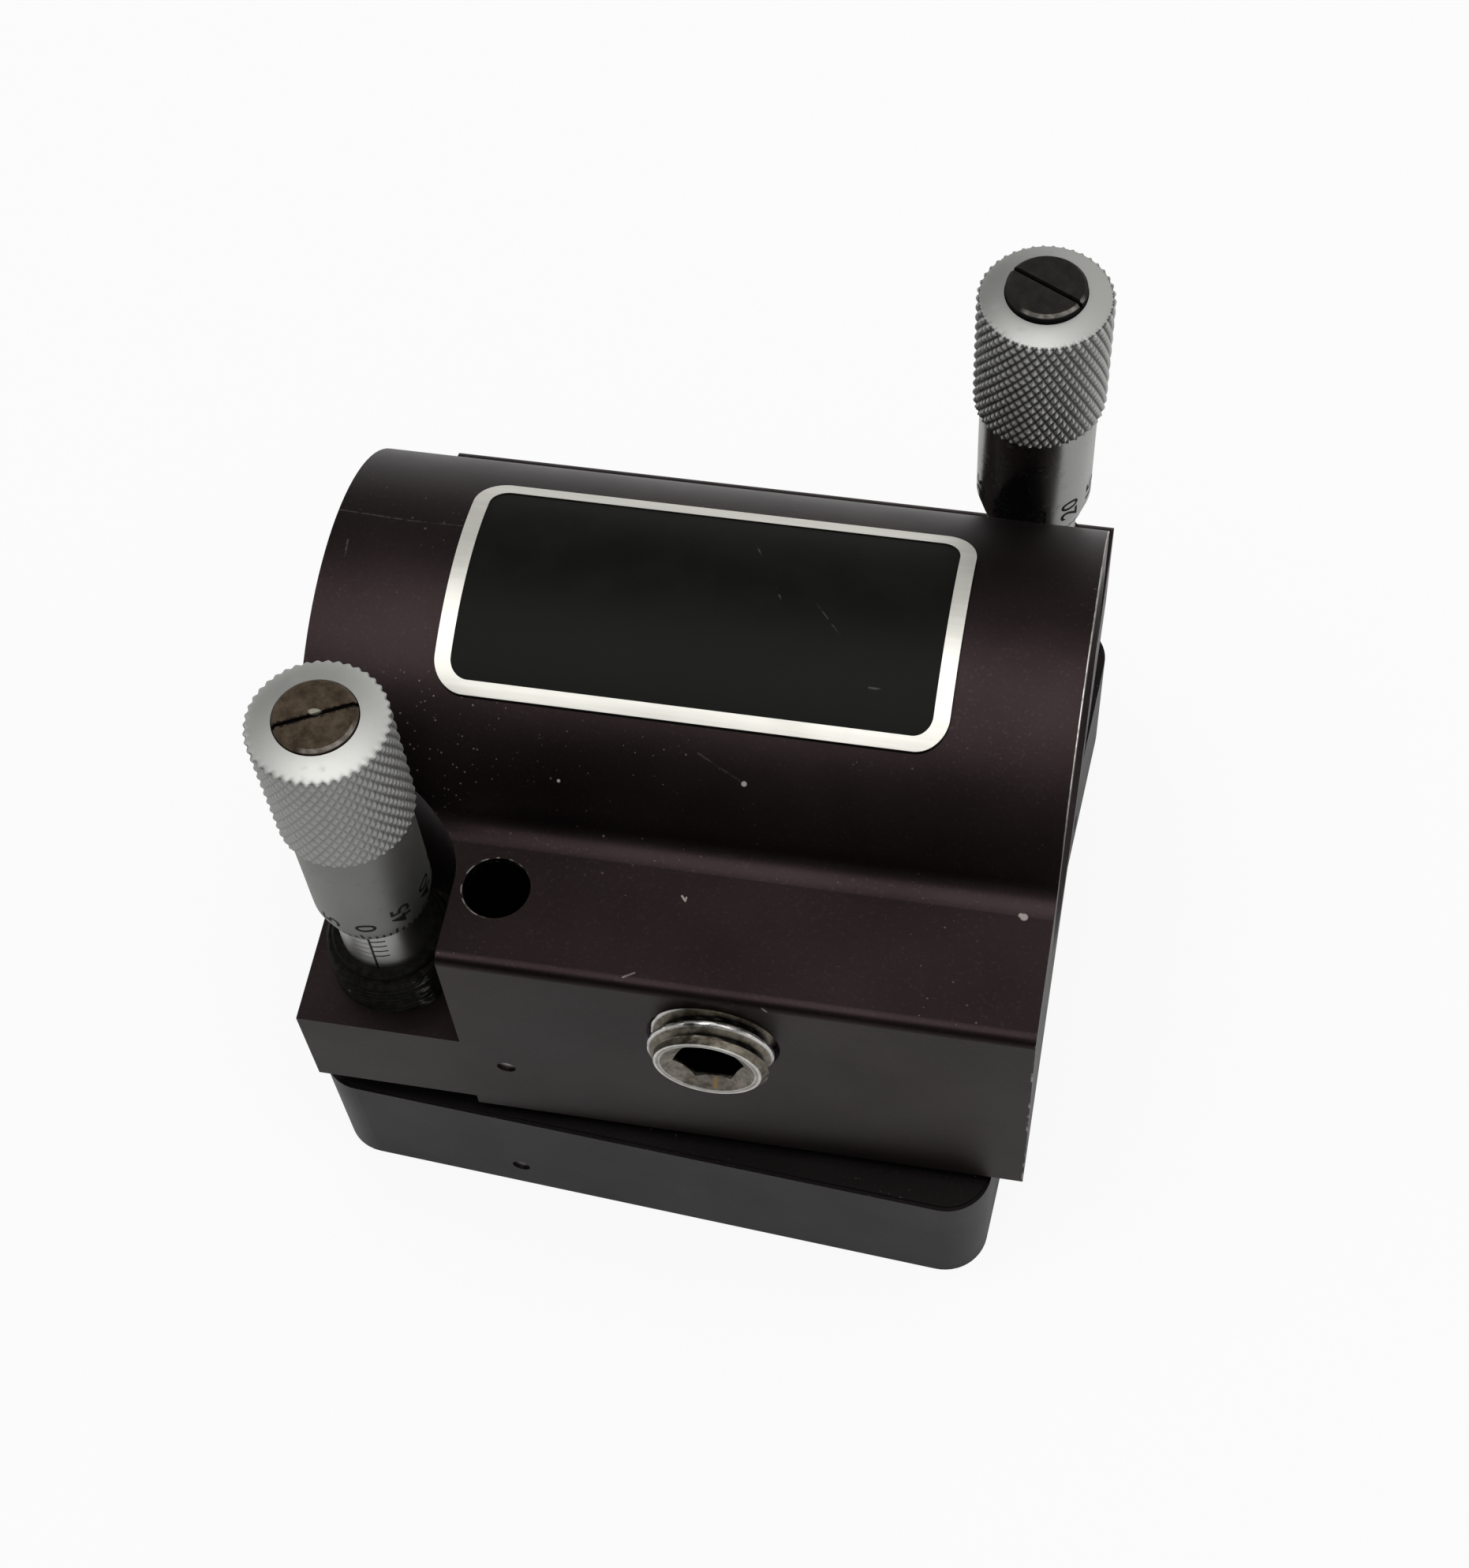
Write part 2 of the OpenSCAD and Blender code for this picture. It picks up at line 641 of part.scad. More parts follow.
module clamp_screw() {
    l = clamp_tip_y - clamp_pad_t + clamp_proud - running;
    color(colour_steel) at([clamp_x, -clamp_proud], barrel_r) rotate([-90, 0, 0]) difference() {
        rotate_extrude() polygon([
            [0, 0], [clamp_face_r, 0], [clamp_r - running, clamp_r - clamp_face_r],
            [clamp_r - running, l - 0.8], [clamp_r - running - 0.8, l], [0, l]]);
        translate([0, 0, -eps]) rotate([0, 0, hex_angle])
            cylinder(r = hex_af / sqrt(3), h = hex_depth, $fn = 6);
        translate([0, 0, -eps])
            cylinder(r1 = clamp_lead_r, r2 = hex_af / 2 - 0.1, h = clamp_lead);
    }
}

module clamp_pad() {
    color(colour_brass) at([clamp_x, clamp_tip_y - clamp_pad_t], barrel_r) rotate([-90, 0, 0])
        cylinder(r = clamp_r - running - 0.8, h = clamp_pad_t);
}

clamp_block();
nameplate();
mirror_plate();
collar_a();
collar_b();
sleeve_a();
sleeve_b();
thimble_a();
thimble_b();
cap_screw_a();
cap_screw_b();
spindle_a();
spindle_b();
tip_ball_a();
tip_ball_b();
pivot_ball();
pivot_cup();
pivot_pad();
tip_pad_a();
tip_pad_b();
spring_a();
spring_b();
block_pin_a();
block_pin_b();
plate_pin_a();
plate_pin_b();
clamp_screw();
clamp_pad();
mirror_grub();
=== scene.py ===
# %% [markdown]
# # Kinematic mirror mount
#
# A mirror mount tips a mirror by a few thousandths of a degree at a time. A heavy clamp block,
# black anodised, holds on to a round rod. Under it hangs a square plate with the mirror, and two
# micrometer heads push the plate away from the block against two springs.
#
# The solids come ready made, in metres, with the origin under the middle of the plate. This lesson
# gives them their finishes, cuts the knurling, threads and numerals that solids are too heavy
# for, winds the springs, and sets up the light and the camera.

# %% The frame that everything stands in
import json
import math

import bmesh
import bpy
from mathutils import Matrix, Vector

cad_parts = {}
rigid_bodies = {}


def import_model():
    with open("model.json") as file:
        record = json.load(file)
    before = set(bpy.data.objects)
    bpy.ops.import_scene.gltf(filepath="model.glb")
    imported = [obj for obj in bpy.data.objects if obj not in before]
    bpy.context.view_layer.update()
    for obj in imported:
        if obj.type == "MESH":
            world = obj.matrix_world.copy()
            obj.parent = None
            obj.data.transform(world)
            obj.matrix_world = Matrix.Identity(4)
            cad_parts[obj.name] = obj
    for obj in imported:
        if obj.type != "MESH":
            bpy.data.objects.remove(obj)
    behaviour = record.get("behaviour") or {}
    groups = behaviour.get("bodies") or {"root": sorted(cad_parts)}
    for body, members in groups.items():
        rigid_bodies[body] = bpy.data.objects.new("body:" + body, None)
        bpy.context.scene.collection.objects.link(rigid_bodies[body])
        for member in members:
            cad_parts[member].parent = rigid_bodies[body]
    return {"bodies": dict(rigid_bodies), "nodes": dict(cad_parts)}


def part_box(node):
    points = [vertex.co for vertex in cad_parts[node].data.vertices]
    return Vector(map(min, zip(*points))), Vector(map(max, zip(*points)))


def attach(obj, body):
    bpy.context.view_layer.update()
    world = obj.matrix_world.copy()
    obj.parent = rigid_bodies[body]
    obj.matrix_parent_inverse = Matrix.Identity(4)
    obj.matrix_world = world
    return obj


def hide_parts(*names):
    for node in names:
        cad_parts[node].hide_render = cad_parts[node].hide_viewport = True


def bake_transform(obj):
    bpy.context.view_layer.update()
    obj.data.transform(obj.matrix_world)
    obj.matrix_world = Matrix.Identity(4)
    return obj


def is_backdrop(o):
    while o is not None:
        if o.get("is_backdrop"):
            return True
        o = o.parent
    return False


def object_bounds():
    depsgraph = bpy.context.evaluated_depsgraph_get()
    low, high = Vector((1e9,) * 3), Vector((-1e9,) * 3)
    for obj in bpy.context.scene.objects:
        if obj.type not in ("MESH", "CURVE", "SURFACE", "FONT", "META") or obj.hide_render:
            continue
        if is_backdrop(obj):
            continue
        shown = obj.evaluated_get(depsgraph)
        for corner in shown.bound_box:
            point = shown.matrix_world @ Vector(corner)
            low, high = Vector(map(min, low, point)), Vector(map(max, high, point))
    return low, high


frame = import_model()
nodes = frame["nodes"]
solid_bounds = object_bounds()
print("solids:", len(nodes), "bodies:", len(frame["bodies"]))

# %% [markdown]
# ## Places
#
# On the real mount the two micrometers and the pivot stand at three corners of one square, so a
# handful of places rule everything. They are read from the solids instead of being typed again:
# a piece that is made here then still fits when a solid changes.

# %% Places and lengths read from the solids
MM = 0.001
TURN = 2 * math.pi


def middle(node):
    """The middle of a solid's box."""
    low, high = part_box(node)
    return (low + high) / 2


def axis_of(node):
    """The upright axis of a round solid: a point on it at height nought."""
    at = middle(node)
    return Vector((at.x, at.y, 0))


axis_a = axis_of("sleeve_a")
axis_b = axis_of("sleeve_b")
block_low, block_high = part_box("clamp_block")
barrel_r = 23.8 * MM
barrel_axis = Vector((0, (block_low.y + block_high.y) / 2, block_low.z + barrel_r))
print("micrometers at", [round(v / MM, 2) for v in (*axis_a.xy, *axis_b.xy)], "mm")
print("barrel axis at y, z =", round(barrel_axis.y / MM, 2), round(barrel_axis.z / MM, 2), "mm")

# %% [markdown]
# ## Writing shaders as sums
#
# A finish is a formula: a little more brown here, a little rougher there. In the shader editor
# that formula is a net of Math nodes. It is easier to read as an expression, so one small class
# wraps a socket and answers to plus, minus and times. Numbers go through Math nodes,
# colours and vectors through Vector Math and Mix, because a Math node turns a colour grey.


# %% One socket that can be reckoned with
class Signal:
    """A socket of a material, used in an expression like a number."""

    def __init__(self, finish, socket):
        self.finish = finish
        self.socket = socket

    def reckon(self, operation, *others, swap=False):
        values = [self, *others]
        if swap:
            values.reverse()
        vector = any(isinstance(v, Signal) and v.socket.type == "VECTOR" for v in values)
        kind = "ShaderNodeVectorMath" if vector else "ShaderNodeMath"
        if vector:
            values = [(v, v, v) if isinstance(v, (int, float)) else v for v in values]
        return self.finish.add(kind, {"operation": operation}, values)

    def __add__(self, other):
        return self.reckon("ADD", other)

    def __radd__(self, other):
        return self.reckon("ADD", other)

    def __sub__(self, other):
        return self.reckon("SUBTRACT", other)

    def __rsub__(self, other):
        return self.reckon("SUBTRACT", other, swap=True)

    def __mul__(self, other):
        return self.reckon("MULTIPLY", other)

    def __rmul__(self, other):
        return self.reckon("MULTIPLY", other)

    def __abs__(self):
        return self.reckon("ABSOLUTE")

    def least(self, other):
        return self.reckon("MINIMUM", other)

    def most(self, other):
        return self.reckon("MAXIMUM", other)

    def __getitem__(self, letter):
        split = self.finish.add("ShaderNodeSeparateXYZ", {}, [self], out=None)
        return Signal(self.finish, split.outputs["XYZ".index(letter)])

    def dot(self, other):
        """The share of a place along a direction: a plain number."""
        return self.finish.add("ShaderNodeVectorMath", {"operation": "DOT_PRODUCT"},
                               [self, other], out="Value")

    def length(self):
        return self.finish.add("ShaderNodeVectorMath", {"operation": "LENGTH"}, [self],
                               out="Value")

    def ramp(self, low, high):
        """Nought below low, one above high, with a smooth step between."""
        return self.finish.add("ShaderNodeMapRange", {"interpolation_type": "SMOOTHSTEP"},
                               {"Value": self, "From Min": low, "From Max": high}, out="Result")

    def within(self, low, high, soft):
        """One between low and high, with soft edges outside them."""
        return self.ramp(low - soft, low) * (1 - self.ramp(high, high + soft))


# %% A material under construction
class Finish:
    """A material: its Principled shader, and one way to add any other node."""

    def __init__(self, name, **constants):
        self.material = bpy.data.materials.new(name)
        self.material.use_nodes = True
        self.tree = self.material.node_tree
        self.surface = self.tree.nodes["Principled BSDF"]
        for socket, value in constants.items():
            self.put(socket.replace("_", " "), value)

    def add(self, kind, settings, inputs, out=0):
        """Adds a node: its settings first, then the values or links of its sockets."""
        node = self.tree.nodes.new(kind)
        for key, value in settings.items():
            setattr(node, key, value)
        pairs = inputs.items() if isinstance(inputs, dict) else enumerate(inputs)
        for key, value in pairs:
            if isinstance(value, Signal):
                self.tree.links.new(value.socket, node.inputs[key])
            else:
                node.inputs[key].default_value = value
        return node if out is None else Signal(self, node.outputs[out])

    def put(self, socket, value):
        """Sets a socket of the surface to a constant or to a signal."""
        if isinstance(value, Signal):
            self.tree.links.new(value.socket, self.surface.inputs[socket])
        elif socket in ("Base Color", "Emission Color") and len(value) == 3:
            self.surface.inputs[socket].default_value = (*value, 1)
        else:
            self.surface.inputs[socket].default_value = value

    def place(self, origin=(0, 0, 0)):
        """Where a point of the piece is, in millimetres from an origin in metres."""
        here = self.add("ShaderNodeTexCoord", {}, {}, out="Object")
        return (here - Vector(origin)[:]) * 1000.0

    def noise(self, where, size, detail=2.0, roughness=0.5, stretch=(1, 1, 1)):
        """Cloudy noise about one half, with clouds of the given size in millimetres."""
        scaled = where * tuple(s / size for s in stretch)
        return self.add("ShaderNodeTexNoise", {"noise_dimensions": "3D"},
                        {"Vector": scaled, "Scale": 1.0, "Detail": detail, "Roughness": roughness})

    def specks(self, where, size, share):
        """Small round specks, one cell in about 1 / share of them."""
        cell = self.add("ShaderNodeTexVoronoi", {"feature": "F1"},
                        {"Vector": where * (1.0 / size), "Scale": 1.0, "Randomness": 1.0}, out=None)
        near = Signal(self, cell.outputs["Distance"])
        pick = Signal(self, cell.outputs["Color"])
        chosen = self.add("ShaderNodeSeparateColor", {}, [pick])
        return (1 - near.ramp(0.12, 0.3)) * chosen.ramp(1 - share, 1 - share + 0.01)

    def spot(self, where, centre, radius):
        """A round spot, in millimetres."""
        return 1 - (where - centre).length().ramp(radius * 0.6, radius)

    def scratch(self, where, start, end, width):
        """A straight mark from one point to another, in millimetres."""
        way = Vector(end) - Vector(start)
        part = (where - start).dot((way / way.length_squared)[:]).most(0.0).least(1.0)
        foot = self.add("ShaderNodeVectorMath", {"operation": "SCALE"}, {0: way[:], "Scale": part})
        return 1 - (where - start - foot).length().ramp(width * 0.3, width)

    def blend(self, low, high, amount):
        """A colour between two others."""
        colours = [(*c, 1) if isinstance(c, tuple) and len(c) == 3 else c for c in (low, high)]
        mix = self.add("ShaderNodeMix", {"data_type": "RGBA"}, {}, out=None)
        for socket, value in zip((mix.inputs[0], mix.inputs[6], mix.inputs[7]), (amount, *colours)):
            if isinstance(value, Signal):
                self.tree.links.new(value.socket, socket)
            else:
                socket.default_value = value
        return Signal(self, mix.outputs[2])

    def bump(self, height, depth):
        """Raises the surface by a height signal times a depth in metres."""
        self.put("Normal", self.add("ShaderNodeBump", {}, {"Height": height, "Distance": depth,
                                                           "Strength": 1.0}))


def angle_about(here):
    """The angle about an upright axis through the origin of a place signal, in turns."""
    return here["Y"].reckon("ARCTAN2", here["X"]) * (1 / TURN)


print("shader words ready")

# %% [markdown]
# ## Black anodised aluminium
#
# Anodising grows a thin glassy oxide on aluminium and soaks it in dye. The metal still shines
# through, so the finish is a metal tinted nearly black: what is seen is whatever stands round it,
# softened by the fine satin of the machining. Old black dye turns purplish brown in clouds. Dust
# gathers in pale specks on the upper faces, and knocked edges show bare metal.


# %% The anodised finish
def anodised(name, dark, brown, knocks, marks=None, matt_part=None):
    f = Finish(name, Specular_IOR_Level=0.2)
    here = f.place()
    cloud = f.noise(here, 18.0, detail=4.0)
    grain = f.noise(here, 0.35, detail=2.0)
    shade = f.blend(dark, brown, cloud.ramp(0.2, 0.8))
    shade = f.blend(shade, (0.050, 0.038, 0.038), grain.ramp(0.55, 0.8) * 0.35)
    upward = f.add("ShaderNodeNewGeometry", {}, {}, out="Normal")["Z"].ramp(0.1, 0.7)
    patch = f.noise(here + 40.0, 16.0, detail=3.0).ramp(0.45, 0.7)
    dust = (f.specks(here, 0.55, 0.03) + f.specks(here, 0.3, 0.03)) * upward * patch * 0.42
    if marks:
        scratches, grit = marks(f, here)
        shade = f.blend(shade, (0.085, 0.070, 0.068), scratches)
        dust = dust.most(grit)
    bare = knocks(f, here)
    shade = f.blend(shade, (0.62, 0.60, 0.57), bare)
    f.put("Base Color", f.blend(shade, (0.36, 0.32, 0.30), dust))
    haze = f.noise(here + 11.0, 9.0, detail=3.0)
    metallic, roughness = 1 - dust, 0.34 + haze * 0.12 + dust * 0.2
    if matt_part:
        matt = matt_part(f, here)
        metallic, roughness = metallic * (1 - matt), roughness + matt * 0.35
    f.put("Metallic", metallic)
    f.put("Roughness", roughness)
    f.bump(grain + f.noise(here, 1.2) * 0.6, 0.000006)
    return f.material


def from_barrel(here):
    """The distance from the barrel's axis, in millimetres."""
    across = here - (0.0, barrel_axis.y / MM, barrel_axis.z / MM)
    return (across["Y"] * across["Y"] + across["Z"] * across["Z"]).reckon("SQRT")


def rod_bore(f, here):
    """The inside of the barrel, where the oxide is dull because no hand ever polishes it."""
    return 1 - from_barrel(here).ramp(19.2, 19.4)


def barrel_rim_knocks(f, here):
    """Bare metal along the barrel's right rim, round the spring hole and at the front corner."""
    rim = from_barrel(here).within(23.62, 24.0, 0.08) * here["X"].ramp(38.18, 38.28)
    rim = rim * here["Z"].ramp(46.0, 54.0)
    chips = f.noise(here, 1.6, detail=3.0).ramp(0.42, 0.52)
    line = rim * (0.5 + chips * 0.5) * here["Y"].ramp(-19.0, -14.0)
    corner = here["X"].ramp(38.05, 38.3) * (1 - here["Y"].ramp(-36.15, -36.0)) * 0.6
    from_hole = (here - spring_hole).length()
    ring = from_hole.within(3.37, 3.45, 0.04) * (here["Y"] * 0.6 - here["X"]).ramp(-3.0, -0.5)
    wear_and_painted_highlight = ring * f.noise(here, 0.9, detail=3.0).ramp(0.48, 0.60) * 0.35
    return (line + wear_and_painted_highlight + corner * f.noise(here, 2.4, detail=4.0).ramp(0.5, 0.62)).least(1.0)


def block_marks(f, here):
    """Fine scratches and bits of grit on the block, each where it has been for years."""
    fine = f.scratch(here, (-38.3, 5.24, 66.25), (-30.4, 4.84, 66.32), 0.14)
    fine = fine.most(f.scratch(here, (-30.4, 4.84, 66.32), (-23.9, 5.0, 66.3), 0.12) * 0.7)
    fine = fine.most(f.scratch(here, (-35.94, 1.49, 66.6), (-35.77, -0.49, 66.54), 0.14))
    fine = fine.most(f.scratch(here, (2.28, -14.43, 60.74), (6.6, -16.05, 59.25), 0.12) * 0.8)
    grit = f.spot(here, (35.42, -22.84, 52.0), 0.45).most(f.spot(here, (35.1, -22.7, 52.0), 0.30))
    grit = grit.most(f.spot(here, (7.03, -16.2, 59.04), 0.34))
    grit = grit.most(f.spot(here, (-11.31, -17.59, 57.41), 0.22))
    grit = grit.most(f.scratch(here, (2.20, -25.55, 52.0), (2.62, -26.05, 52.0), 0.14))
    grit = grit.most(f.scratch(here, (2.62, -26.05, 52.0), (2.66, -25.65, 52.0), 0.12))
    grit = grit.most(f.scratch(here, (-1.75, -35.18, 52.0), (-0.75, -34.57, 52.0), 0.14) * 0.35)
    grit = grit.most(f.scratch(here, (11.45, -36.2, 51.9), (12.4, -36.2, 50.9), 0.18) * 0.5)
    grit = grit.most(f.specks(here, 0.4, 0.10) * f.spot(here, (-24.0, -16.0, 59.0), 9.0) * 0.5)
    return fine * f.noise(here, 0.7).ramp(0.3, 0.6), grit


def plate_edge_knocks(f, here):
    """A few small nicks where the plate's edge has met the bench."""
    low_edge = 1 - here["Z"].ramp(0.1, 0.5)
    return low_edge * f.noise(here, 1.1, detail=3.0).ramp(0.68, 0.72) * 0.6


spring_hole = (axis_a.x / MM + 13, axis_a.y / MM, 52.0)
black_block = anodised("Anodised_block", (0.0175, 0.0118, 0.0122), (0.0280, 0.0197, 0.0200),
                       barrel_rim_knocks, block_marks, rod_bore)
black_plate = anodised("Anodised_plate", (0.0145, 0.0126, 0.0126), (0.0235, 0.0203, 0.0203),
                       plate_edge_knocks)
print("made", black_block.name, "and", black_plate.name)

# %% [markdown]
# ## Label
#
# The plate on the barrel is thin anodised aluminium: a black field, sunk a tenth of a millimetre,
# inside a bright border. Height tells the two apart, so the material measures each point's
# distance from the barrel's axis. The field is left bare.


# %% The label's two tones
def label_finish():
    f = Finish("Label_foil", Specular_IOR_Level=0.08)
    here = f.place(barrel_axis)
    radius = (here["Y"] * here["Y"] + here["Z"] * here["Z"]).reckon("SQRT")
    border = radius.ramp(24.22, 24.26)
    brushed = f.noise(here, 0.5, detail=3.0, stretch=(0.05, 1, 1))
    silver = f.blend((0.62, 0.61, 0.56), (0.76, 0.75, 0.69), brushed)
    wear = f.noise(here, 5.0, detail=5.0).ramp(0.3, 0.8)
    black = f.blend((0.0028, 0.0028, 0.0022), (0.0050, 0.0049, 0.0040), wear)
    at = f.place()
    hair = f.scratch(at, (4.6, 6.6, 66.4), (8.1, 0.3, 67.0), 0.12)
    hair = hair.most(f.scratch(at, (18.0, -7.53, 65.4), (19.0, -7.56, 65.4), 0.16))
    hair = hair.most(f.scratch(at, (11.6, 0.3, 67.0), (14.4, -2.8, 66.7), 0.10) * 0.6)
    hair = hair * f.noise(here, 0.8).ramp(0.35, 0.6) * (1 - border)
    f.put("Base Color", f.blend(f.blend(black, (0.10, 0.095, 0.09), hair * 0.7), silver, border))
    f.put("Metallic", border * 0.7)
    f.put("Roughness", 0.40 + wear * 0.08 - border * 0.04)
    f.bump(brushed * border, 0.000004)
    return f.material


label_foil = label_finish()
print("made", label_foil.name)

# %% [markdown]
# ## Satin chrome
#
# Micrometers are plated with satin chrome: a grey metal, blasted before plating so that light
# scatters and the scale can be read without glare. The scale's lines are etched and filled with
# black. A line on a round sleeve is a narrow band of angle over a band of height, so the sleeve's
# material works both out from its own axis.


# %% Satin chrome with a scale on it
def satin_chrome(name, axis, scale, rough=0.28, grip=None):
    f = Finish(name, Specular_IOR_Level=0.1)
    here = f.place(axis)
    cloud = f.noise(here, 5.0, detail=3.0)
    metal = f.blend((0.37, 0.37, 0.35), (0.47, 0.47, 0.45), cloud)
    grime = f.noise(here + 7.0, 1.3, detail=4.0).ramp(0.6, 0.8)
    metal = f.blend(metal, (0.10, 0.09, 0.08), grime * 0.3)
    if grip:
        low, high = grip["heights"]
        radius = (here["X"] * here["X"] + here["Y"] * here["Y"]).reckon("SQRT")
        on_grip = here["Z"].within(low, high, 0.05)
        metal = f.blend(metal, grip["crests"], on_grip)
        # The knurl is painted darker towards the bottom of its grooves, by each grip's darkening
        # share.
        pit = (1 - radius.ramp(grip["root"], 6.76)) * on_grip
        metal = f.blend(metal, (0.022, 0.021, 0.020), pit * grip["dirt"])
        crown = here["Z"].ramp(high, high + 0.06)
        metal = f.blend(metal, grip["crown"], crown)
        metal = f.blend(metal, grip["skirt"], 1 - here["Z"].ramp(low - 0.1, low))
        rough = rough + on_grip * (0.46 - rough) + crown * (0.40 - rough)
    ink = scale(f, here).least(1.0)
    f.put("Base Color", f.blend(metal, (0.003, 0.003, 0.003), ink))
    f.put("Metallic", 1 - ink)
    f.put("Roughness", rough + cloud * 0.12 + grime * 0.15)
    f.bump(f.noise(here, 0.12, detail=2.0), 0.000002)
    return f.material


def sleeve_scale(reading, zero):
    """Lines etched on a sleeve, half a millimetre apart, on either side of a datum line.

    reading is the datum's angle in turns. zero is the height of one of the whole lines."""
    def scale(f, here):
        side = angle_about(here) - reading
        side = (side + 0.5).reckon("FRACT") - 0.5
        along = here["Z"] - zero
        datum = side.within(-0.0038, 0.0038, 0.0012)
        whole = abs((along + 0.5).reckon("FRACT") - 0.5)
        half = abs(along.reckon("FRACT") - 0.5)
        right = (1 - whole.ramp(0.07, 0.17)) * side.within(0.0, 0.054, 0.002)
        left = (1 - half.ramp(0.03, 0.13)) * side.within(-0.062, 0.0, 0.004) * 0.7
        start = here["Z"].ramp(zero - 3.8, zero - 3.7)
        return datum.most(right.most(left) * start)
    return scale


def thimble_scale(zero, foot):
    """Fifty divisions on a thimble's bevelled rim, every fifth one longer."""
    def scale(f, here):
        turn = zero - angle_about(here)
        one = (turn * 50.0 + 0.5).reckon("FRACT") - 0.5
        five = (turn * 10.0 + 0.5).reckon("FRACT") - 0.5
        mark = 1 - abs(one).ramp(0.15, 0.22)
        longer = 1 - abs(five).ramp(0.09, 0.11)
        height = here["Z"] - foot
        reach = 0.85 + longer * 0.75
        return mark * (1 - (height - reach).ramp(0.0, 0.06))
    return scale


foot_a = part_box("thimble_a")[0].z / MM
foot_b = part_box("thimble_b")[0].z / MM
zero_a = -0.2431
zero_b = 91.0 / 360
top_line = 45.78
chrome_sleeve_a = satin_chrome("Chrome_sleeve_a", axis_a, sleeve_scale(zero_a, top_line))
chrome_sleeve_b = satin_chrome("Chrome_sleeve_b", axis_b, sleeve_scale(-0.25, top_line))
grip_low, grip_high = 16.6, 31.5
grip_a = {"heights": (foot_a + grip_low, foot_a + grip_high), "root": 6.50, "dirt": 0.45,
          "skirt": (0.225, 0.225, 0.215), "crests": (0.42, 0.42, 0.41), "crown": (0.43, 0.43, 0.41)}
grip_b = {"heights": (foot_b + grip_low, foot_b + grip_high), "root": 6.46, "dirt": 0.90,
          "skirt": (0.34, 0.34, 0.33), "crests": (0.52, 0.52, 0.51), "crown": (0.36, 0.36, 0.345)}
chrome_thimble_a = satin_chrome("Chrome_thimble_a", axis_a, thimble_scale(zero_a, foot_a),
                                rough=0.44, grip=grip_a)
chrome_thimble_b = satin_chrome("Chrome_thimble_b", axis_b, thimble_scale(zero_b, foot_b),
                                rough=0.20, grip=grip_b)
print("thimble feet at", round(foot_a, 2), "and", round(foot_b, 2), "mm")


# %% [markdown]
# ## Small steel finishes
#
# The balls, pins, springs and the small grub screw are steel in different states: polished,
# ground, drawn or blackened. One helper makes these from two shades, a roughness and the size of
# the cloud between the shades. The cap screws, the collars and the clamp screw each have a formula
# of their own that says where they are dirty and where highlights and shade are painted on them.


# %% Steel in its different states
def steel(name, dark, light, rough, cloud_mm=2.0, metallic=1.0, gloss=0.5):
    f = Finish(name, Metallic=metallic, Specular_IOR_Level=gloss)
    here = f.place()
    cloud = f.noise(here, cloud_mm, detail=5.0, roughness=0.6).ramp(0.25, 0.75)
    f.put("Base Color", f.blend(dark, light, cloud))
    f.put("Roughness", rough + cloud * 0.14)
    f.bump(f.noise(here, 0.15, detail=3.0), 0.000003)
    return f.material


def cap_finish(name, letter, dark, light, slot_turn, crust, speck, highlight_turns):
    """A cap screw's finish: oxide, a dark crust in and along the slot, painted shade on the side
    wall and a painted highlight on one stretch of the bevel.

    highlight_turns is the stretch of the bevel, in turns, that gets the painted highlight."""
    f = Finish(name, Specular_IOR_Level=0.08)
    low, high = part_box("cap_screw_" + letter)
    here = f.place((*middle("cap_screw_" + letter).xy, high.z))
    cloud = f.noise(here, 1.5, detail=6.0, roughness=0.65).ramp(0.3, 0.7)
    shade = f.blend(dark, light, cloud)
    across = here.dot((-math.sin(slot_turn * TURN), math.cos(slot_turn * TURN), 0))
    ragged = abs(across) - (f.noise(here, 0.5, detail=4.0) - 0.42) * 0.8 * crust
    dirt = 1 - ragged.ramp(0.18, 0.26)
    shade = f.blend(shade, (0.007, 0.0055, 0.004), dirt * crust)
    radius = (here["X"] * here["X"] + here["Y"] * here["Y"]).reckon("SQRT")
    # Painted shade: the cap's side wall, below the top, is painted nearly black.
    shade = f.blend(shade, (0.002, 0.002, 0.002), 1 - here["Z"].ramp(-0.48, -0.36))
    # Painted highlight: a bright arc on one stretch of the bevel, broken up by noise.
    bevel = radius.within(3.68, 3.92, 0.06) * here["Z"].ramp(-0.36, -0.28)
    highlight_arc = angle_about(here).within(*highlight_turns, 0.05)
    wear_and_painted_highlight = bevel * highlight_arc * (0.35 + f.noise(here, 0.8, detail=3.0).ramp(0.4, 0.7) * 0.65)
    if speck:
        fleck = f.spot(here * (0.55, 1.0, 1.0), (speck[0] * 0.55, speck[1], 0.0), 0.42)
        shade = f.blend(shade, (0.30, 0.29, 0.24), fleck)
    f.put("Base Color", f.blend(shade, (0.30, 0.28, 0.25), wear_and_painted_highlight))
    f.put("Roughness", 0.55 - wear_and_painted_highlight * 0.2)
    f.bump(f.noise(here, 0.4, detail=4.0), 0.00003 * (0.3 + crust))
    return f.material


brown_steel = cap_finish("Browned_steel", "a", (0.030, 0.021, 0.0125), (0.090, 0.066, 0.045),
                         27 / 360, 1.0, (0.0, 0.3), (-0.24, -0.04))
black_steel = cap_finish("Blackened_steel", "b", (0.010, 0.0095, 0.0085), (0.022, 0.020, 0.017),
                         -27 / 360, 0.25, None, (-0.30, -0.07))
grub_steel = steel("Grub_steel", (0.008, 0.0075, 0.007), (0.020, 0.019, 0.016), 0.36, 1.2,
                   metallic=0.5)


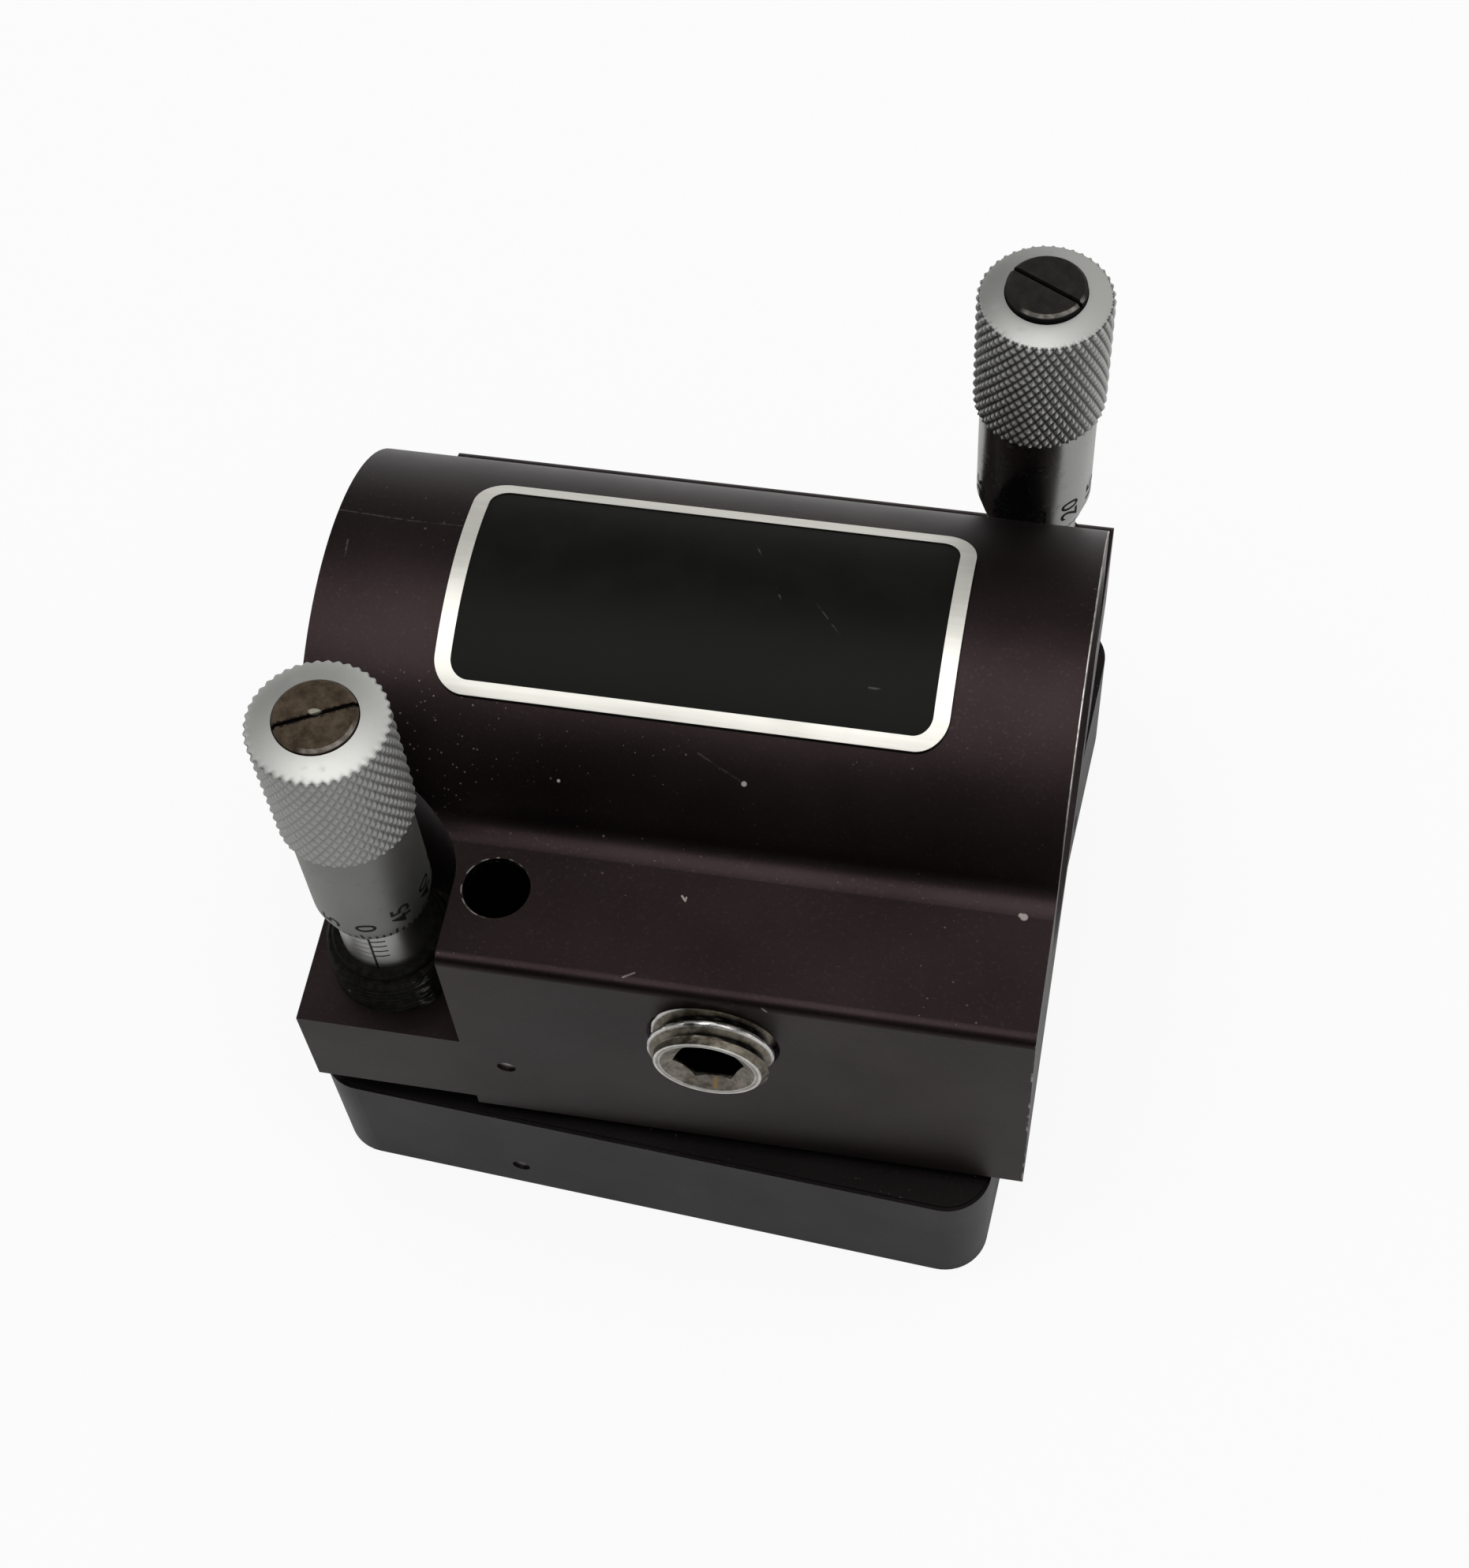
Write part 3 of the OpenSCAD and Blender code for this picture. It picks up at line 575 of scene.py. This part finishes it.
def collar_finish(name, axis, lit_turns):
    """Black oxide, with a painted highlight on one side, over a short stretch of the thread."""
    f = Finish(name, Specular_IOR_Level=0.04)
    here = f.place(axis)
    cloud = f.noise(here, 0.8, detail=5.0, roughness=0.65)
    shade = f.blend((0.0040, 0.0040, 0.0030), (0.0140, 0.0132, 0.0110), cloud.ramp(0.3, 0.75))
    # Painted highlight: the thread is painted bright in streaks over one stretch of angle.
    side = angle_about(here).within(*lit_turns, 0.014)
    streak = f.noise(here, 0.4, detail=4.0, stretch=(0.3, 0.3, 1.8)).ramp(0.46, 0.66)
    painted_highlight = side * streak * here["Z"].within(33.9, 38.9, 0.5)
    fleck = f.specks(here, 1.1, 0.10) * 0.4
    f.put("Base Color", f.blend(f.blend(shade, (0.2, 0.18, 0.15), fleck), (0.50, 0.47, 0.48),
                                painted_highlight * 0.4))
    f.put("Roughness", 0.42 - painted_highlight * 0.1)
    f.bump(f.noise(here, 0.15, detail=3.0), 0.000003)
    return f.material


collar_black_a = collar_finish("Collar_black_a", axis_a, (-0.142, -0.122))
collar_black_b = collar_finish("Collar_black_b", axis_b, (0.300, 0.330))
ground_steel = steel("Ground_steel", (0.33, 0.33, 0.335), (0.50, 0.50, 0.50), 0.28, 1.0)
hard_steel = steel("Hard_steel", (0.50, 0.50, 0.505), (0.62, 0.62, 0.625), 0.14, 2.0)
wire_steel = steel("Spring_wire", (0.24, 0.24, 0.24), (0.42, 0.42, 0.42), 0.30, 1.0)


def clamp_screw_finish():
    """Painted highlights on the crests and the end ring, painted shade in the deep grooves and the
    socket; brown on the flanks and at the socket's mouth.
    """
    f = Finish("Stainless", Metallic=1.0)
    low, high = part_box("clamp_screw")
    here = f.place(((low.x + high.x) / 2, low.y, (low.z + high.z) / 2))
    radius = (here["X"] * here["X"] + here["Z"] * here["Z"]).reckon("SQRT")
    cloud = f.noise(here, 0.9, detail=5.0, roughness=0.6).ramp(0.3, 0.7)
    flank = f.blend((0.100, 0.085, 0.062), (0.27, 0.245, 0.20), cloud)
    painted_highlight = f.blend((0.55, 0.54, 0.515), (0.76, 0.75, 0.715), cloud)
    on_face = 1 - here["Y"].ramp(0.02, 0.10)
    # Painted highlights: the crests and the outer and inner edges of the end ring are painted
    # bright, and the end face a little brighter all over.
    crest = radius.ramp(5.95, 6.15) * (1 - on_face)
    # Painted shade: the grooves deeper than about a millimetre from the face are painted nearly
    # black.
    groove_painted_shade = (1 - radius.ramp(5.3, 5.6)) * here["Y"].ramp(0.9, 1.2)
    ring = (radius.ramp(5.12, 5.22) + radius.within(4.74, 4.84, 0.05) * 0.7) * on_face
    mouth = (1 - radius.ramp(4.70, 4.85)) * (1 - here["Y"].ramp(1.1, 1.25))
    shade = f.blend(flank, painted_highlight, crest.most(ring + on_face * 0.35).least(1.0))
    shade = f.blend(shade, f.blend((0.11, 0.096, 0.075), (0.30, 0.275, 0.24), cloud), mouth)
    shade = f.blend(shade, (0.012, 0.011, 0.010), groove_painted_shade)
    # Painted shade: the socket's inside is painted black.
    socket = (1 - radius.ramp(3.72, 3.76)) * here["Y"].ramp(1.12, 1.2)
    shade = f.blend(shade, (0.004, 0.004, 0.004), socket)
    brass_rub = f.scratch(here, (0.55, 0.3, -4.3), (0.62, 0.9, -3.5), 0.35)
    f.put("Base Color", f.blend(shade, (0.42, 0.27, 0.09), brass_rub * 0.8))
    f.put("Roughness", 0.32 + cloud * 0.16 - crest * 0.1)
    f.bump(f.noise(here, 0.2, detail=3.0), 0.000004)
    return f.material


stainless = clamp_screw_finish()
brass = steel("Brass_pad", (0.40, 0.28, 0.10), (0.62, 0.46, 0.20), 0.34, 2.0)
print("steels made")

# %% [markdown]
# ## Knurled thimbles
#
# A knurl is rolled into the grip by two wheels whose ridges lean opposite ways. Where both press,
# only a small pyramid is left standing. A bump map would shade like that but leave the grip's
# outline smooth, and the outline is what the eye checks against a white background. So the
# profile is spun into a tube with a few columns for each tooth, and every point of the grip is then
# pushed in by how near it stands to a groove of either family.


# %% Spinning a profile and cutting a knurl
def spin_profile(profile, axis, steps):
    """Spins a closed profile of (radius, height) points round an upright axis."""
    bm = bmesh.new()
    ring = [bm.verts.new((axis.x + r, axis.y, z)) for r, z in profile]
    edges = [bm.edges.new((a, b)) for a, b in zip(ring, ring[1:] + ring[:1])]
    bmesh.ops.spin(bm, geom=ring + edges, cent=axis, axis=(0, 0, 1), angle=TURN, steps=steps,
                   use_merge=True)
    bmesh.ops.remove_doubles(bm, verts=bm.verts, dist=1e-7)
    bmesh.ops.recalc_face_normals(bm, faces=bm.faces)
    return bm


def finished(bm, name, material, body, smooth_below=40):
    """Turns a bmesh into a piece that rides on a body, or on none yet."""
    mesh = bpy.data.meshes.new(name)
    bm.to_mesh(mesh)
    bm.free()
    mesh.materials.append(material)
    piece = bpy.data.objects.new(name, mesh)
    bpy.context.collection.objects.link(piece)
    for face in mesh.polygons:
        face.use_smooth = True
    mesh.set_sharp_from_angle(angle=math.radians(smooth_below))
    if body:
        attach(piece, body)
    return piece


def groove(turns):
    """Nought at the bottom of a groove, one half way to the next."""
    return 1 - abs(2 * (turns % 1.0) - 1)


def cut_knurl(bm, axis, low, high, root, teeth, depth, wheels):
    """Pushes the grip's points in along two families of slanting grooves.

    Each wheel is a slant, in teeth for each metre of height, and where its first ridge stands."""
    count = 0
    for v in bm.verts:
        out = Vector((v.co.x - axis.x, v.co.y - axis.y))
        if v.co.z < low - 1e-7 or v.co.z > high + 1e-7 or out.length < root:
            continue
        around = math.atan2(out.y, out.x) / TURN * teeth
        stand = min(groove(around + (v.co.z - high) * slant + first) for slant, first in wheels)
        new = out.normalized() * (out.length - depth * (1 - min(1.0, 1.3 * stand)))
        v.co.x, v.co.y = axis.x + new.x, axis.y + new.y
        count += 1
    return count


# %% Making the two thimbles
def knurled_thimble(letter, axis, wheels, depth, finish):
    low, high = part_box("thimble_" + letter)
    foot, rim = low.z, high.z - dome_h
    grip_r = (high.x - low.x) / 2
    grip = rim - 14.9 * MM
    roof = rim - 6 * MM
    seat = middle("cap_screw_" + letter).z + 0.4 * MM
    hole = 4.1 * MM
    shoulder = grip_r - 0.1 * MM
    rows, ridge = 112, 14.7 * MM
    profile = [(4.8 * MM, foot), (5.45 * MM, foot), (6.04 * MM, foot + 2.2 * MM),
               (6.04 * MM, grip), (shoulder, grip)]
    profile += [(grip_r, grip + 0.1 * MM + ridge * i / rows) for i in range(rows + 1)]
    for i in range(9):
        t = i / 8
        profile.append((shoulder + (hole - shoulder) * t, rim + dome_h * t * (1.48 - 0.48 * t)))
    profile += [(hole, seat), (2.38 * MM, seat), (2.38 * MM, roof), (4.8 * MM, roof)]
    bm = spin_profile(profile, axis, knurl_teeth * knurl_columns)
    moved = cut_knurl(bm, axis, grip, rim, grip_r - 0.35 * MM, knurl_teeth, depth, wheels)
    piece = finished(bm, "Thimble_" + letter, finish, "thimble_" + letter + "_body",
                     smooth_below=30)
    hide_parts("thimble_" + letter)
    print(piece.name, "points cut", moved, "faces", len(piece.data.polygons))
    return piece


dome_h = 0.8 * MM
knurl_teeth = 42
knurl_columns = 8
knurled_thimble("a", axis_a, [(525, 0.34), (-675, 0.30)], 0.22 * MM, chrome_thimble_a)
knurled_thimble("b", axis_b, [(525, 0.05), (-700, 0.65)], 0.31 * MM, chrome_thimble_b)

# %% [markdown]
# ## Numerals
#
# A thimble's numerals are stamped so that they read with the micrometer lying on its side: up is
# round the rim and the words run along the axis. Each is a text object made into a mesh, cut into
# small faces so that it can bend, and wrapped on the thimble a hundredth of a millimetre proud. A
# number stands a little to one side of its line, turned so that the line stays clear.


# %% Ink for the numerals
ink = steel("Etched_black", (0.003, 0.003, 0.003), (0.008, 0.008, 0.008), 0.5, 1.0, metallic=0.0,
            gloss=0.1)


# %% Wrapping a word round a thimble
def numeral(word, letter, axis, at_turn, height, radius, size=3.0, thick=0.012):
    """A word that stands at an angle (in turns) and a height, wrapped on a round of that radius."""
    text = bpy.data.curves.new("word", "FONT")
    text.body = word
    text.size = size * MM
    text.align_x = "LEFT"
    text.align_y = "CENTER"
    text.resolution_u = 4
    text.offset = 0.03 * MM
    flat = bpy.data.objects.new("word", text)
    bpy.context.collection.objects.link(flat)
    outline = bpy.data.meshes.new_from_object(flat)
    bpy.data.objects.remove(flat)
    bm = bmesh.new()
    bm.from_mesh(outline)
    bmesh.ops.remove_doubles(bm, verts=bm.verts, dist=1e-7)
    sides = [v.co.y for v in bm.verts]
    bmesh.ops.translate(bm, verts=bm.verts, vec=(0, -(min(sides) + max(sides)) / 2, 0))
    for step in range(-14, 15):
        bmesh.ops.bisect_plane(bm, geom=bm.verts[:] + bm.edges[:] + bm.faces[:],
                               plane_co=(0, step * 0.12 * MM, 0), plane_no=(0, 1, 0), dist=1e-8)
    skin = bmesh.ops.extrude_face_region(bm, geom=bm.faces[:])
    raised = [g for g in skin["geom"] if isinstance(g, bmesh.types.BMVert)]
    bmesh.ops.translate(bm, verts=raised, vec=(0, 0, thick * MM))
    for v in bm.verts:
        turn = at_turn * TURN - v.co.y / radius
        out = radius - 0.004 * MM + v.co.z
        v.co = Vector((axis.x + out * math.cos(turn), axis.y + out * math.sin(turn),
                       height + v.co.x))
    bmesh.ops.recalc_face_normals(bm, faces=bm.faces)
    name = "Numeral_" + letter + "_" + word.replace(".", "p").replace(" ", "_")
    return finished(bm, name, ink, "thimble_" + letter + "_body")


# %% The numbers of both dials
thimble_skirt = 6.04 * MM
beside = 0.022
for letter, axis, zero, foot in (("a", axis_a, zero_a, foot_a), ("b", axis_b, zero_b, foot_b)):
    for number in range(0, 50, 5):
        numeral(str(number), letter, axis, zero + beside - number / 50, (foot + 2.5) * MM,
                thimble_skirt)
print("numerals on both thimbles")

# %% [markdown]
# ## Threads
#
# A screw thread is one groove that climbs as it goes round. The same trick as the knurl makes it:
# spin a plain tube with many rows, and push each point in by how near it stands to the groove,
# which is its height less its share of a turn. The collars carry a fine thread, the clamp screw a
# coarser one.


# %% Cutting a thread
def cut_thread(bm, start, along, side, up, low, high, crest, depth, pitch, first=0.0):
    """Pushes points that stand outside a thread in to it, between two stations along its axis."""
    for v in bm.verts:
        rel = v.co - start
        station = rel.dot(along)
        out = rel - along * station
        if station < low - 1e-7 or station > high + 1e-7:
            continue
        turn = math.atan2(out.dot(up), out.dot(side)) / TURN
        stand = (groove((station - low) / pitch - turn + first) - 0.12) / 0.72
        reach = crest - depth * (1 - max(0.0, min(1.0, stand)))
        if out.length > reach:
            v.co -= out * (1 - reach / out.length)


# %% The threaded collars
collar_pitch = 0.794 * MM


def threaded_collar(letter, axis, finish):
    low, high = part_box("collar_" + letter)
    r = (high.x - low.x) / 2
    ledge = block_low.z + 14.8 * MM
    top = high.z - 1 * MM
    rows = 60
    profile = [(4.75 * MM, low.z), (r, low.z), (r, ledge + 0.05 * MM)]
    profile += [(r, ledge + (top - ledge - 0.4 * MM) * i / rows) for i in range(1, rows + 1)]
    profile += [(r - 0.4 * MM, top), (5.8 * MM, top), (5.8 * MM, high.z - 0.2 * MM),
                (5.6 * MM, high.z), (4.75 * MM, high.z)]
    bm = spin_profile(profile, axis, 96)
    cut_thread(bm, axis.copy(), Vector((0, 0, 1)), Vector((1, 0, 0)), Vector((0, 1, 0)),
               ledge + 0.06 * MM, top - 0.25 * MM, r, 0.36 * MM, collar_pitch)
    piece = finished(bm, "Collar_" + letter, finish, "block_body")
    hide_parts("collar_" + letter)
    print(piece.name, "faces", len(piece.data.polygons))
    return piece


threaded_collar("a", axis_a, collar_black_a)
threaded_collar("b", axis_b, collar_black_b)

# %% [markdown]
# ## Clamp screw
#
# The clamp screw is a large socket set screw. Its body is spun like the collars and threaded over
# its whole length. The socket is a hexagon that goes straight in: the end face is opened with a
# boolean cut by a six-sided prism, as a broach would punch it. A short cone at its mouth leads
# the key in.


# %% Turning, threading and broaching the clamp screw
clamp_pitch = 1.954 * MM
key_across = 6.35 * MM


def make_clamp_screw():
    low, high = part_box("clamp_screw")
    start = Vector(((low.x + high.x) / 2, 0, (low.z + high.z) / 2))
    r = (high.x - low.x) / 2
    rows = 150
    face, tip = low.y, high.y
    face_r, cone_r, cone_end = 5.4 * MM, 4.8 * MM, 3.0 * MM
    bm = bmesh.new()
    floor_y = face + (cone_r - cone_end) / math.sqrt(3)
    profile = [(0.3 * MM, floor_y), (cone_end, floor_y), (cone_r, face), (face_r, face)]
    profile += [(r, face + r - face_r + (tip - face - r + face_r - 0.8 * MM) * i / rows)
                for i in range(rows + 1)]
    profile += [(r - 0.8 * MM, tip), (0.4 * MM, tip)]
    ring = [bm.verts.new((start.x + rr, y, start.z)) for rr, y in profile]
    edges = [bm.edges.new(pair) for pair in zip(ring, ring[1:])]
    bmesh.ops.spin(bm, geom=ring + edges, cent=start, axis=(0, 1, 0), angle=TURN, steps=96,
                   use_merge=True)
    bmesh.ops.remove_doubles(bm, verts=bm.verts, dist=1e-7)
    bmesh.ops.holes_fill(bm, edges=[e for e in bm.edges if e.is_boundary], sides=0)
    cut_thread(bm, start, Vector((0, 1, 0)), Vector((1, 0, 0)), Vector((0, 0, -1)),
               face + 0.06 * MM, tip - 0.06 * MM, r, 1.10 * MM, clamp_pitch, first=0.25)
    bmesh.ops.recalc_face_normals(bm, faces=bm.faces)
    piece = finished(bm, "Clamp_screw", stainless, "clamp_screw_body")
    tool = bmesh.new()
    key_r = key_across / math.sqrt(3)
    bmesh.ops.create_cone(tool, cap_ends=True, segments=6, radius1=key_r, radius2=key_r,
                          depth=12 * MM)
    bmesh.ops.rotate(tool, verts=tool.verts, cent=(0, 0, 0),
                     matrix=Matrix.Rotation(math.radians(90), 3, "X")
                     @ Matrix.Rotation(math.radians(-24), 3, "Z"))
    bmesh.ops.translate(tool, verts=tool.verts, vec=(start.x, face, start.z))
    mesh = bpy.data.meshes.new("broach")
    tool.to_mesh(mesh)
    tool.free()
    broach = bpy.data.objects.new("broach", mesh)
    bpy.context.collection.objects.link(broach)
    cut = piece.modifiers.new("Socket", "BOOLEAN")
    cut.operation = "DIFFERENCE"
    cut.solver = "EXACT"
    cut.object = broach
    bpy.context.view_layer.update()
    seen = bpy.context.evaluated_depsgraph_get()
    shaped = bpy.data.meshes.new_from_object(piece.evaluated_get(seen))
    piece.modifiers.clear()
    piece.data = shaped
    for p in shaped.polygons:
        p.use_smooth = True
    shaped.set_sharp_from_angle(angle=math.radians(24))
    bpy.data.objects.remove(broach)
    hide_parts("clamp_screw")
    print(piece.name, "faces", len(shaped.polygons))
    return piece


make_clamp_screw()

# %% [markdown]
# ## Springs
#
# The two extension springs are close-wound wire: each coil lies against the next, and a loop at
# either end goes round a cross pin. A small circle of wire is spun round the spring's axis while
# it is carried along it, which is just what a spring winder does.
#
# A spring joins two parts that tip against each other. Each is wound in place between its two pins
# and rides on neither body; it stands in line with the other hinge, which hardly moves it.


# %% Winding a spring
wire_r = 0.4 * MM
coil_r = 2.0 * MM
hook_r = 1.5 * MM


def sweep_wire(bm, at, steps, climb, turns, about):
    """Carries a small circle of wire round an axis and returns the points that this adds."""
    before = len(bm.verts)
    start = bmesh.ops.create_circle(bm, cap_ends=False, segments=8, radius=wire_r)["verts"]
    if about.z:
        bmesh.ops.rotate(bm, verts=start, cent=(0, 0, 0),
                         matrix=Matrix.Rotation(math.pi / 2, 3, "X"))
    bmesh.ops.translate(bm, verts=start, vec=at)
    ring = list({e for v in start for e in v.link_edges})
    bmesh.ops.spin(bm, geom=start + ring, cent=(0, 0, 0), axis=about, angle=TURN * turns,
                   dvec=(0, 0, climb / steps), steps=steps, use_merge=not climb)
    bm.verts.ensure_lookup_table()
    return bm.verts[before:]


def mean_point(points, height):
    """The middle of some points in plan, at a height."""
    return Vector((sum(p.x for p in points) / len(points), sum(p.y for p in points) / len(points),
                   height))


def wind_spring(letter, spin):
    cad = [v.co.copy() for v in nodes["spring_" + letter].data.vertices]
    foot_z = middle("plate_pin_" + letter).z
    head_z = middle("block_pin_" + letter).z
    foot = mean_point([p for p in cad if p.z < foot_z + 1.2 * MM], foot_z)
    head = mean_point([p for p in cad if p.z > head_z - 1.2 * MM], head_z)
    length = (head - foot).length
    clear = 1.25 * MM + wire_r
    turns = int((length - 2 * clear) / (2.02 * wire_r))
    bm = bmesh.new()
    sweep_wire(bm, (coil_r, 0, clear), 24 * turns, length - 2 * clear, turns, Vector((0, 0, 1)))
    for z in (0.1 * MM, length - 0.1 * MM):
        hook = sweep_wire(bm, (hook_r, 0, 0), 28, 0, 1, Vector((0, 1, 0)))
        bmesh.ops.rotate(bm, verts=hook, cent=(0, 0, 0), matrix=Matrix.Rotation(spin, 3, "Z"))
        bmesh.ops.translate(bm, verts=hook, vec=(0, 0, z))
    bmesh.ops.remove_doubles(bm, verts=bm.verts, dist=1e-8)
    bmesh.ops.holes_fill(bm, edges=[e for e in bm.edges if e.is_boundary], sides=0)
    lean = Vector((0, 0, 1)).rotation_difference(head - foot).to_matrix()
    bmesh.ops.rotate(bm, verts=bm.verts, cent=(0, 0, 0), matrix=lean)
    bmesh.ops.translate(bm, verts=bm.verts, vec=foot)
    bmesh.ops.recalc_face_normals(bm, faces=bm.faces)
    heights = [v.co.z for v in bm.verts]
    piece = finished(bm, "Spring_" + letter, wire_steel, None)
    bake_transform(piece)
    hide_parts("spring_" + letter)
    print(piece.name, "turns", turns, "from", round(min(heights) / MM, 2), "to",
          round(max(heights) / MM, 2), "mm")
    return piece


wind_spring("a", 0.0)
wind_spring("b", math.pi / 2)

# %% [markdown]
# ## Finishes for the solids that stay
#
# The block, the plate, the label and the small turned parts already have their true shape, so they
# only get a finish in place of their plain colour.

# %% Handing out the finishes
finishes = {
    "clamp_block": black_block, "mirror_plate": black_plate, "nameplate": label_foil,
    "sleeve_a": chrome_sleeve_a, "sleeve_b": chrome_sleeve_b,
    "cap_screw_a": brown_steel, "cap_screw_b": black_steel,
    "spindle_a": ground_steel, "spindle_b": ground_steel,
    "tip_ball_a": hard_steel, "tip_ball_b": hard_steel,
    "pivot_ball": hard_steel, "pivot_cup": hard_steel, "pivot_pad": hard_steel,
    "tip_pad_a": hard_steel, "tip_pad_b": hard_steel,
    "block_pin_a": ground_steel, "block_pin_b": ground_steel,
    "plate_pin_a": ground_steel, "plate_pin_b": ground_steel,
    "thimble_a": chrome_thimble_a, "thimble_b": chrome_thimble_b,
    "collar_a": collar_black_a, "collar_b": collar_black_b, "clamp_screw": stainless,
    "spring_a": wire_steel, "spring_b": wire_steel,
    "clamp_pad": brass, "mirror_grub": grub_steel,
}
for node, material in finishes.items():
    for held in nodes[node].material_slots:
        held.material = material
print("solids with a finish:", len(finishes), "of", len(nodes))

# %% [markdown]
# ## Floor, light and background
#
# Satin metal shows whatever stands round it, so the surroundings matter as much as the lamp. A
# pale floor carries the shadow, a white surround fills the reflections, and one broad lamp
# overhead models the shape. Two black cards in front and a grey one high at the back left, which
# the camera doesn't see, draw dark bands along the rounds. Without them black satin looks grey
# all over.


# %% The floor
def make_floor():
    bm = bmesh.new()
    bmesh.ops.create_grid(bm, x_segments=1, y_segments=1, size=3.0)
    mesh = bpy.data.meshes.new("Floor")
    bm.to_mesh(mesh)
    bm.free()
    floor = bpy.data.objects.new("Floor", mesh)
    bpy.context.collection.objects.link(floor)
    f = Finish("Floor_paper", Roughness=0.9)
    f.put("Base Color", (0.88, 0.88, 0.88))
    path = f.add("ShaderNodeLightPath", {}, {}, out=None)
    glow = f.add("ShaderNodeEmission", {}, {"Color": (1, 1, 1, 1), "Strength": 1.0})
    seen = Signal(f, path.outputs["Is Camera Ray"]) * 0.90
    mixed = f.add("ShaderNodeMixShader", {}, {0: seen, 1: Signal(f, f.surface.outputs[0]), 2: glow})
    f.tree.links.new(mixed.socket, f.tree.nodes["Material Output"].inputs["Surface"])
    mesh.materials.append(f.material)
    floor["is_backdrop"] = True
    return floor


make_floor()


# %% The white surround
def make_surround(level):
    world = bpy.data.worlds.new("Surround")
    bpy.context.scene.world = world
    world.use_nodes = True
    tree = world.node_tree
    back = tree.nodes["Background"]
    path = tree.nodes.new("ShaderNodeLightPath")
    seen = tree.nodes.new("ShaderNodeMath")
    seen.operation = "MAXIMUM"
    tree.links.new(path.outputs["Is Camera Ray"], seen.inputs[0])
    tree.links.new(path.outputs["Is Transmission Ray"], seen.inputs[1])
    strength = tree.nodes.new("ShaderNodeMath")
    strength.operation = "MAXIMUM"
    tree.links.new(seen.outputs[0], strength.inputs[0])
    tree.links.new(path.outputs["Is Glossy Ray"], strength.inputs[1])
    least = tree.nodes.new("ShaderNodeMath")
    least.operation = "MAXIMUM"
    least.inputs[1].default_value = level
    tree.links.new(strength.outputs[0], least.inputs[0])
    tree.links.new(least.outputs[0], back.inputs["Strength"])
    back.inputs["Color"].default_value = (1, 1, 1, 1)
    return world


make_surround(0.58)


# %% The cards
def card(name, place, wide, high, paint):
    """A card that faces the object, which only reflections and soft light see."""
    bm = bmesh.new()
    bmesh.ops.create_grid(bm, x_segments=1, y_segments=1, size=0.5)
    bmesh.ops.scale(bm, verts=bm.verts, vec=(wide, high, 1))
    away = Vector(place) - centre
    bmesh.ops.rotate(bm, verts=bm.verts, cent=(0, 0, 0),
                     matrix=away.to_track_quat("Z", "Y").to_matrix())
    bmesh.ops.translate(bm, verts=bm.verts, vec=place)
    mesh = bpy.data.meshes.new(name)
    bm.to_mesh(mesh)
    bm.free()
    holder = bpy.data.objects.new(name, mesh)
    bpy.context.collection.objects.link(holder)
    holder.visible_camera = False
    mesh.materials.append(paint.material)
    holder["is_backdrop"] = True
    return holder


centre = (solid_bounds[0] + solid_bounds[1]) / 2
black_felt = Finish("Black_felt", Base_Color=(0.004, 0.004, 0.004), Roughness=1.0,
                    Specular_IOR_Level=0.0)
grey_card = Finish("Grey_card", Base_Color=(0.60, 0.60, 0.60), Roughness=1.0,
                   Specular_IOR_Level=0.0)
card("Card_low", (-0.05, -0.75, 0.14), 1.70, 0.26, black_felt)
card("Card_tall", (-0.40, -0.75, 0.47), 1.00, 0.90, black_felt)
card("Card_back_left", (-0.80, 0.88, 1.05), 2.00, 1.60, grey_card)
print("cards: 3")


# %% The lamp
def lamp(name, place, aim, size, watts):
    light = bpy.data.lights.new(name, "AREA")
    light.shape = "DISK"
    light.size = size
    light.energy = watts
    holder = bpy.data.objects.new(name, light)
    holder.location = place
    holder.rotation_euler = (Vector(aim) - Vector(place)).to_track_quat("-Z", "Y").to_euler()
    bpy.context.collection.objects.link(holder)
    return holder


lamp("Lamp_above", (-0.05, -0.18, 1.05), centre, 1.10, 5.0)
print("lamps:", len(bpy.data.lights))

# %% [markdown]
# ## Camera
#
# A camera matrix has the camera's right, up and backward directions in its columns. The object
# is seen from above its front right corner with a fairly long lens, and a small upward shift keeps
# the uprights where they belong.

# %% The camera
picture_w, picture_h = 1862, 1988
focal_px, centre_row = 3487.2, 1130
camera_right = Vector((0.98216, 0.18028, -0.05346))
camera_down = Vector((0.13244, -0.86505, -0.48390))
camera_ahead = Vector((-0.13348, 0.46818, -0.87349))
turn = Matrix((camera_right, -camera_down, -camera_ahead)).transposed()
lens = bpy.data.cameras.new("Camera")
lens.sensor_fit = "HORIZONTAL"
lens.sensor_width = 36
lens.lens = focal_px / picture_w * lens.sensor_width
lens.shift_y = (centre_row - picture_h / 2) / picture_w
lens.clip_start = 0.01
camera = bpy.data.objects.new("Camera", lens)
camera.matrix_world = Matrix.Translation((0.04309, -0.15017, 0.28692)) @ turn.to_4x4()
bpy.context.collection.objects.link(camera)
bpy.context.scene.camera = camera
bpy.context.scene.view_settings.view_transform = "Standard"
print("lens", round(lens.lens, 1), "mm, shift", round(lens.shift_y, 4))

# %% Both boxes
shown_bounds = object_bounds()
print("solids", [round(v / MM, 2) for v in (*solid_bounds[0], *solid_bounds[1])])
print("shown ", [round(v / MM, 2) for v in (*shown_bounds[0], *shown_bounds[1])])
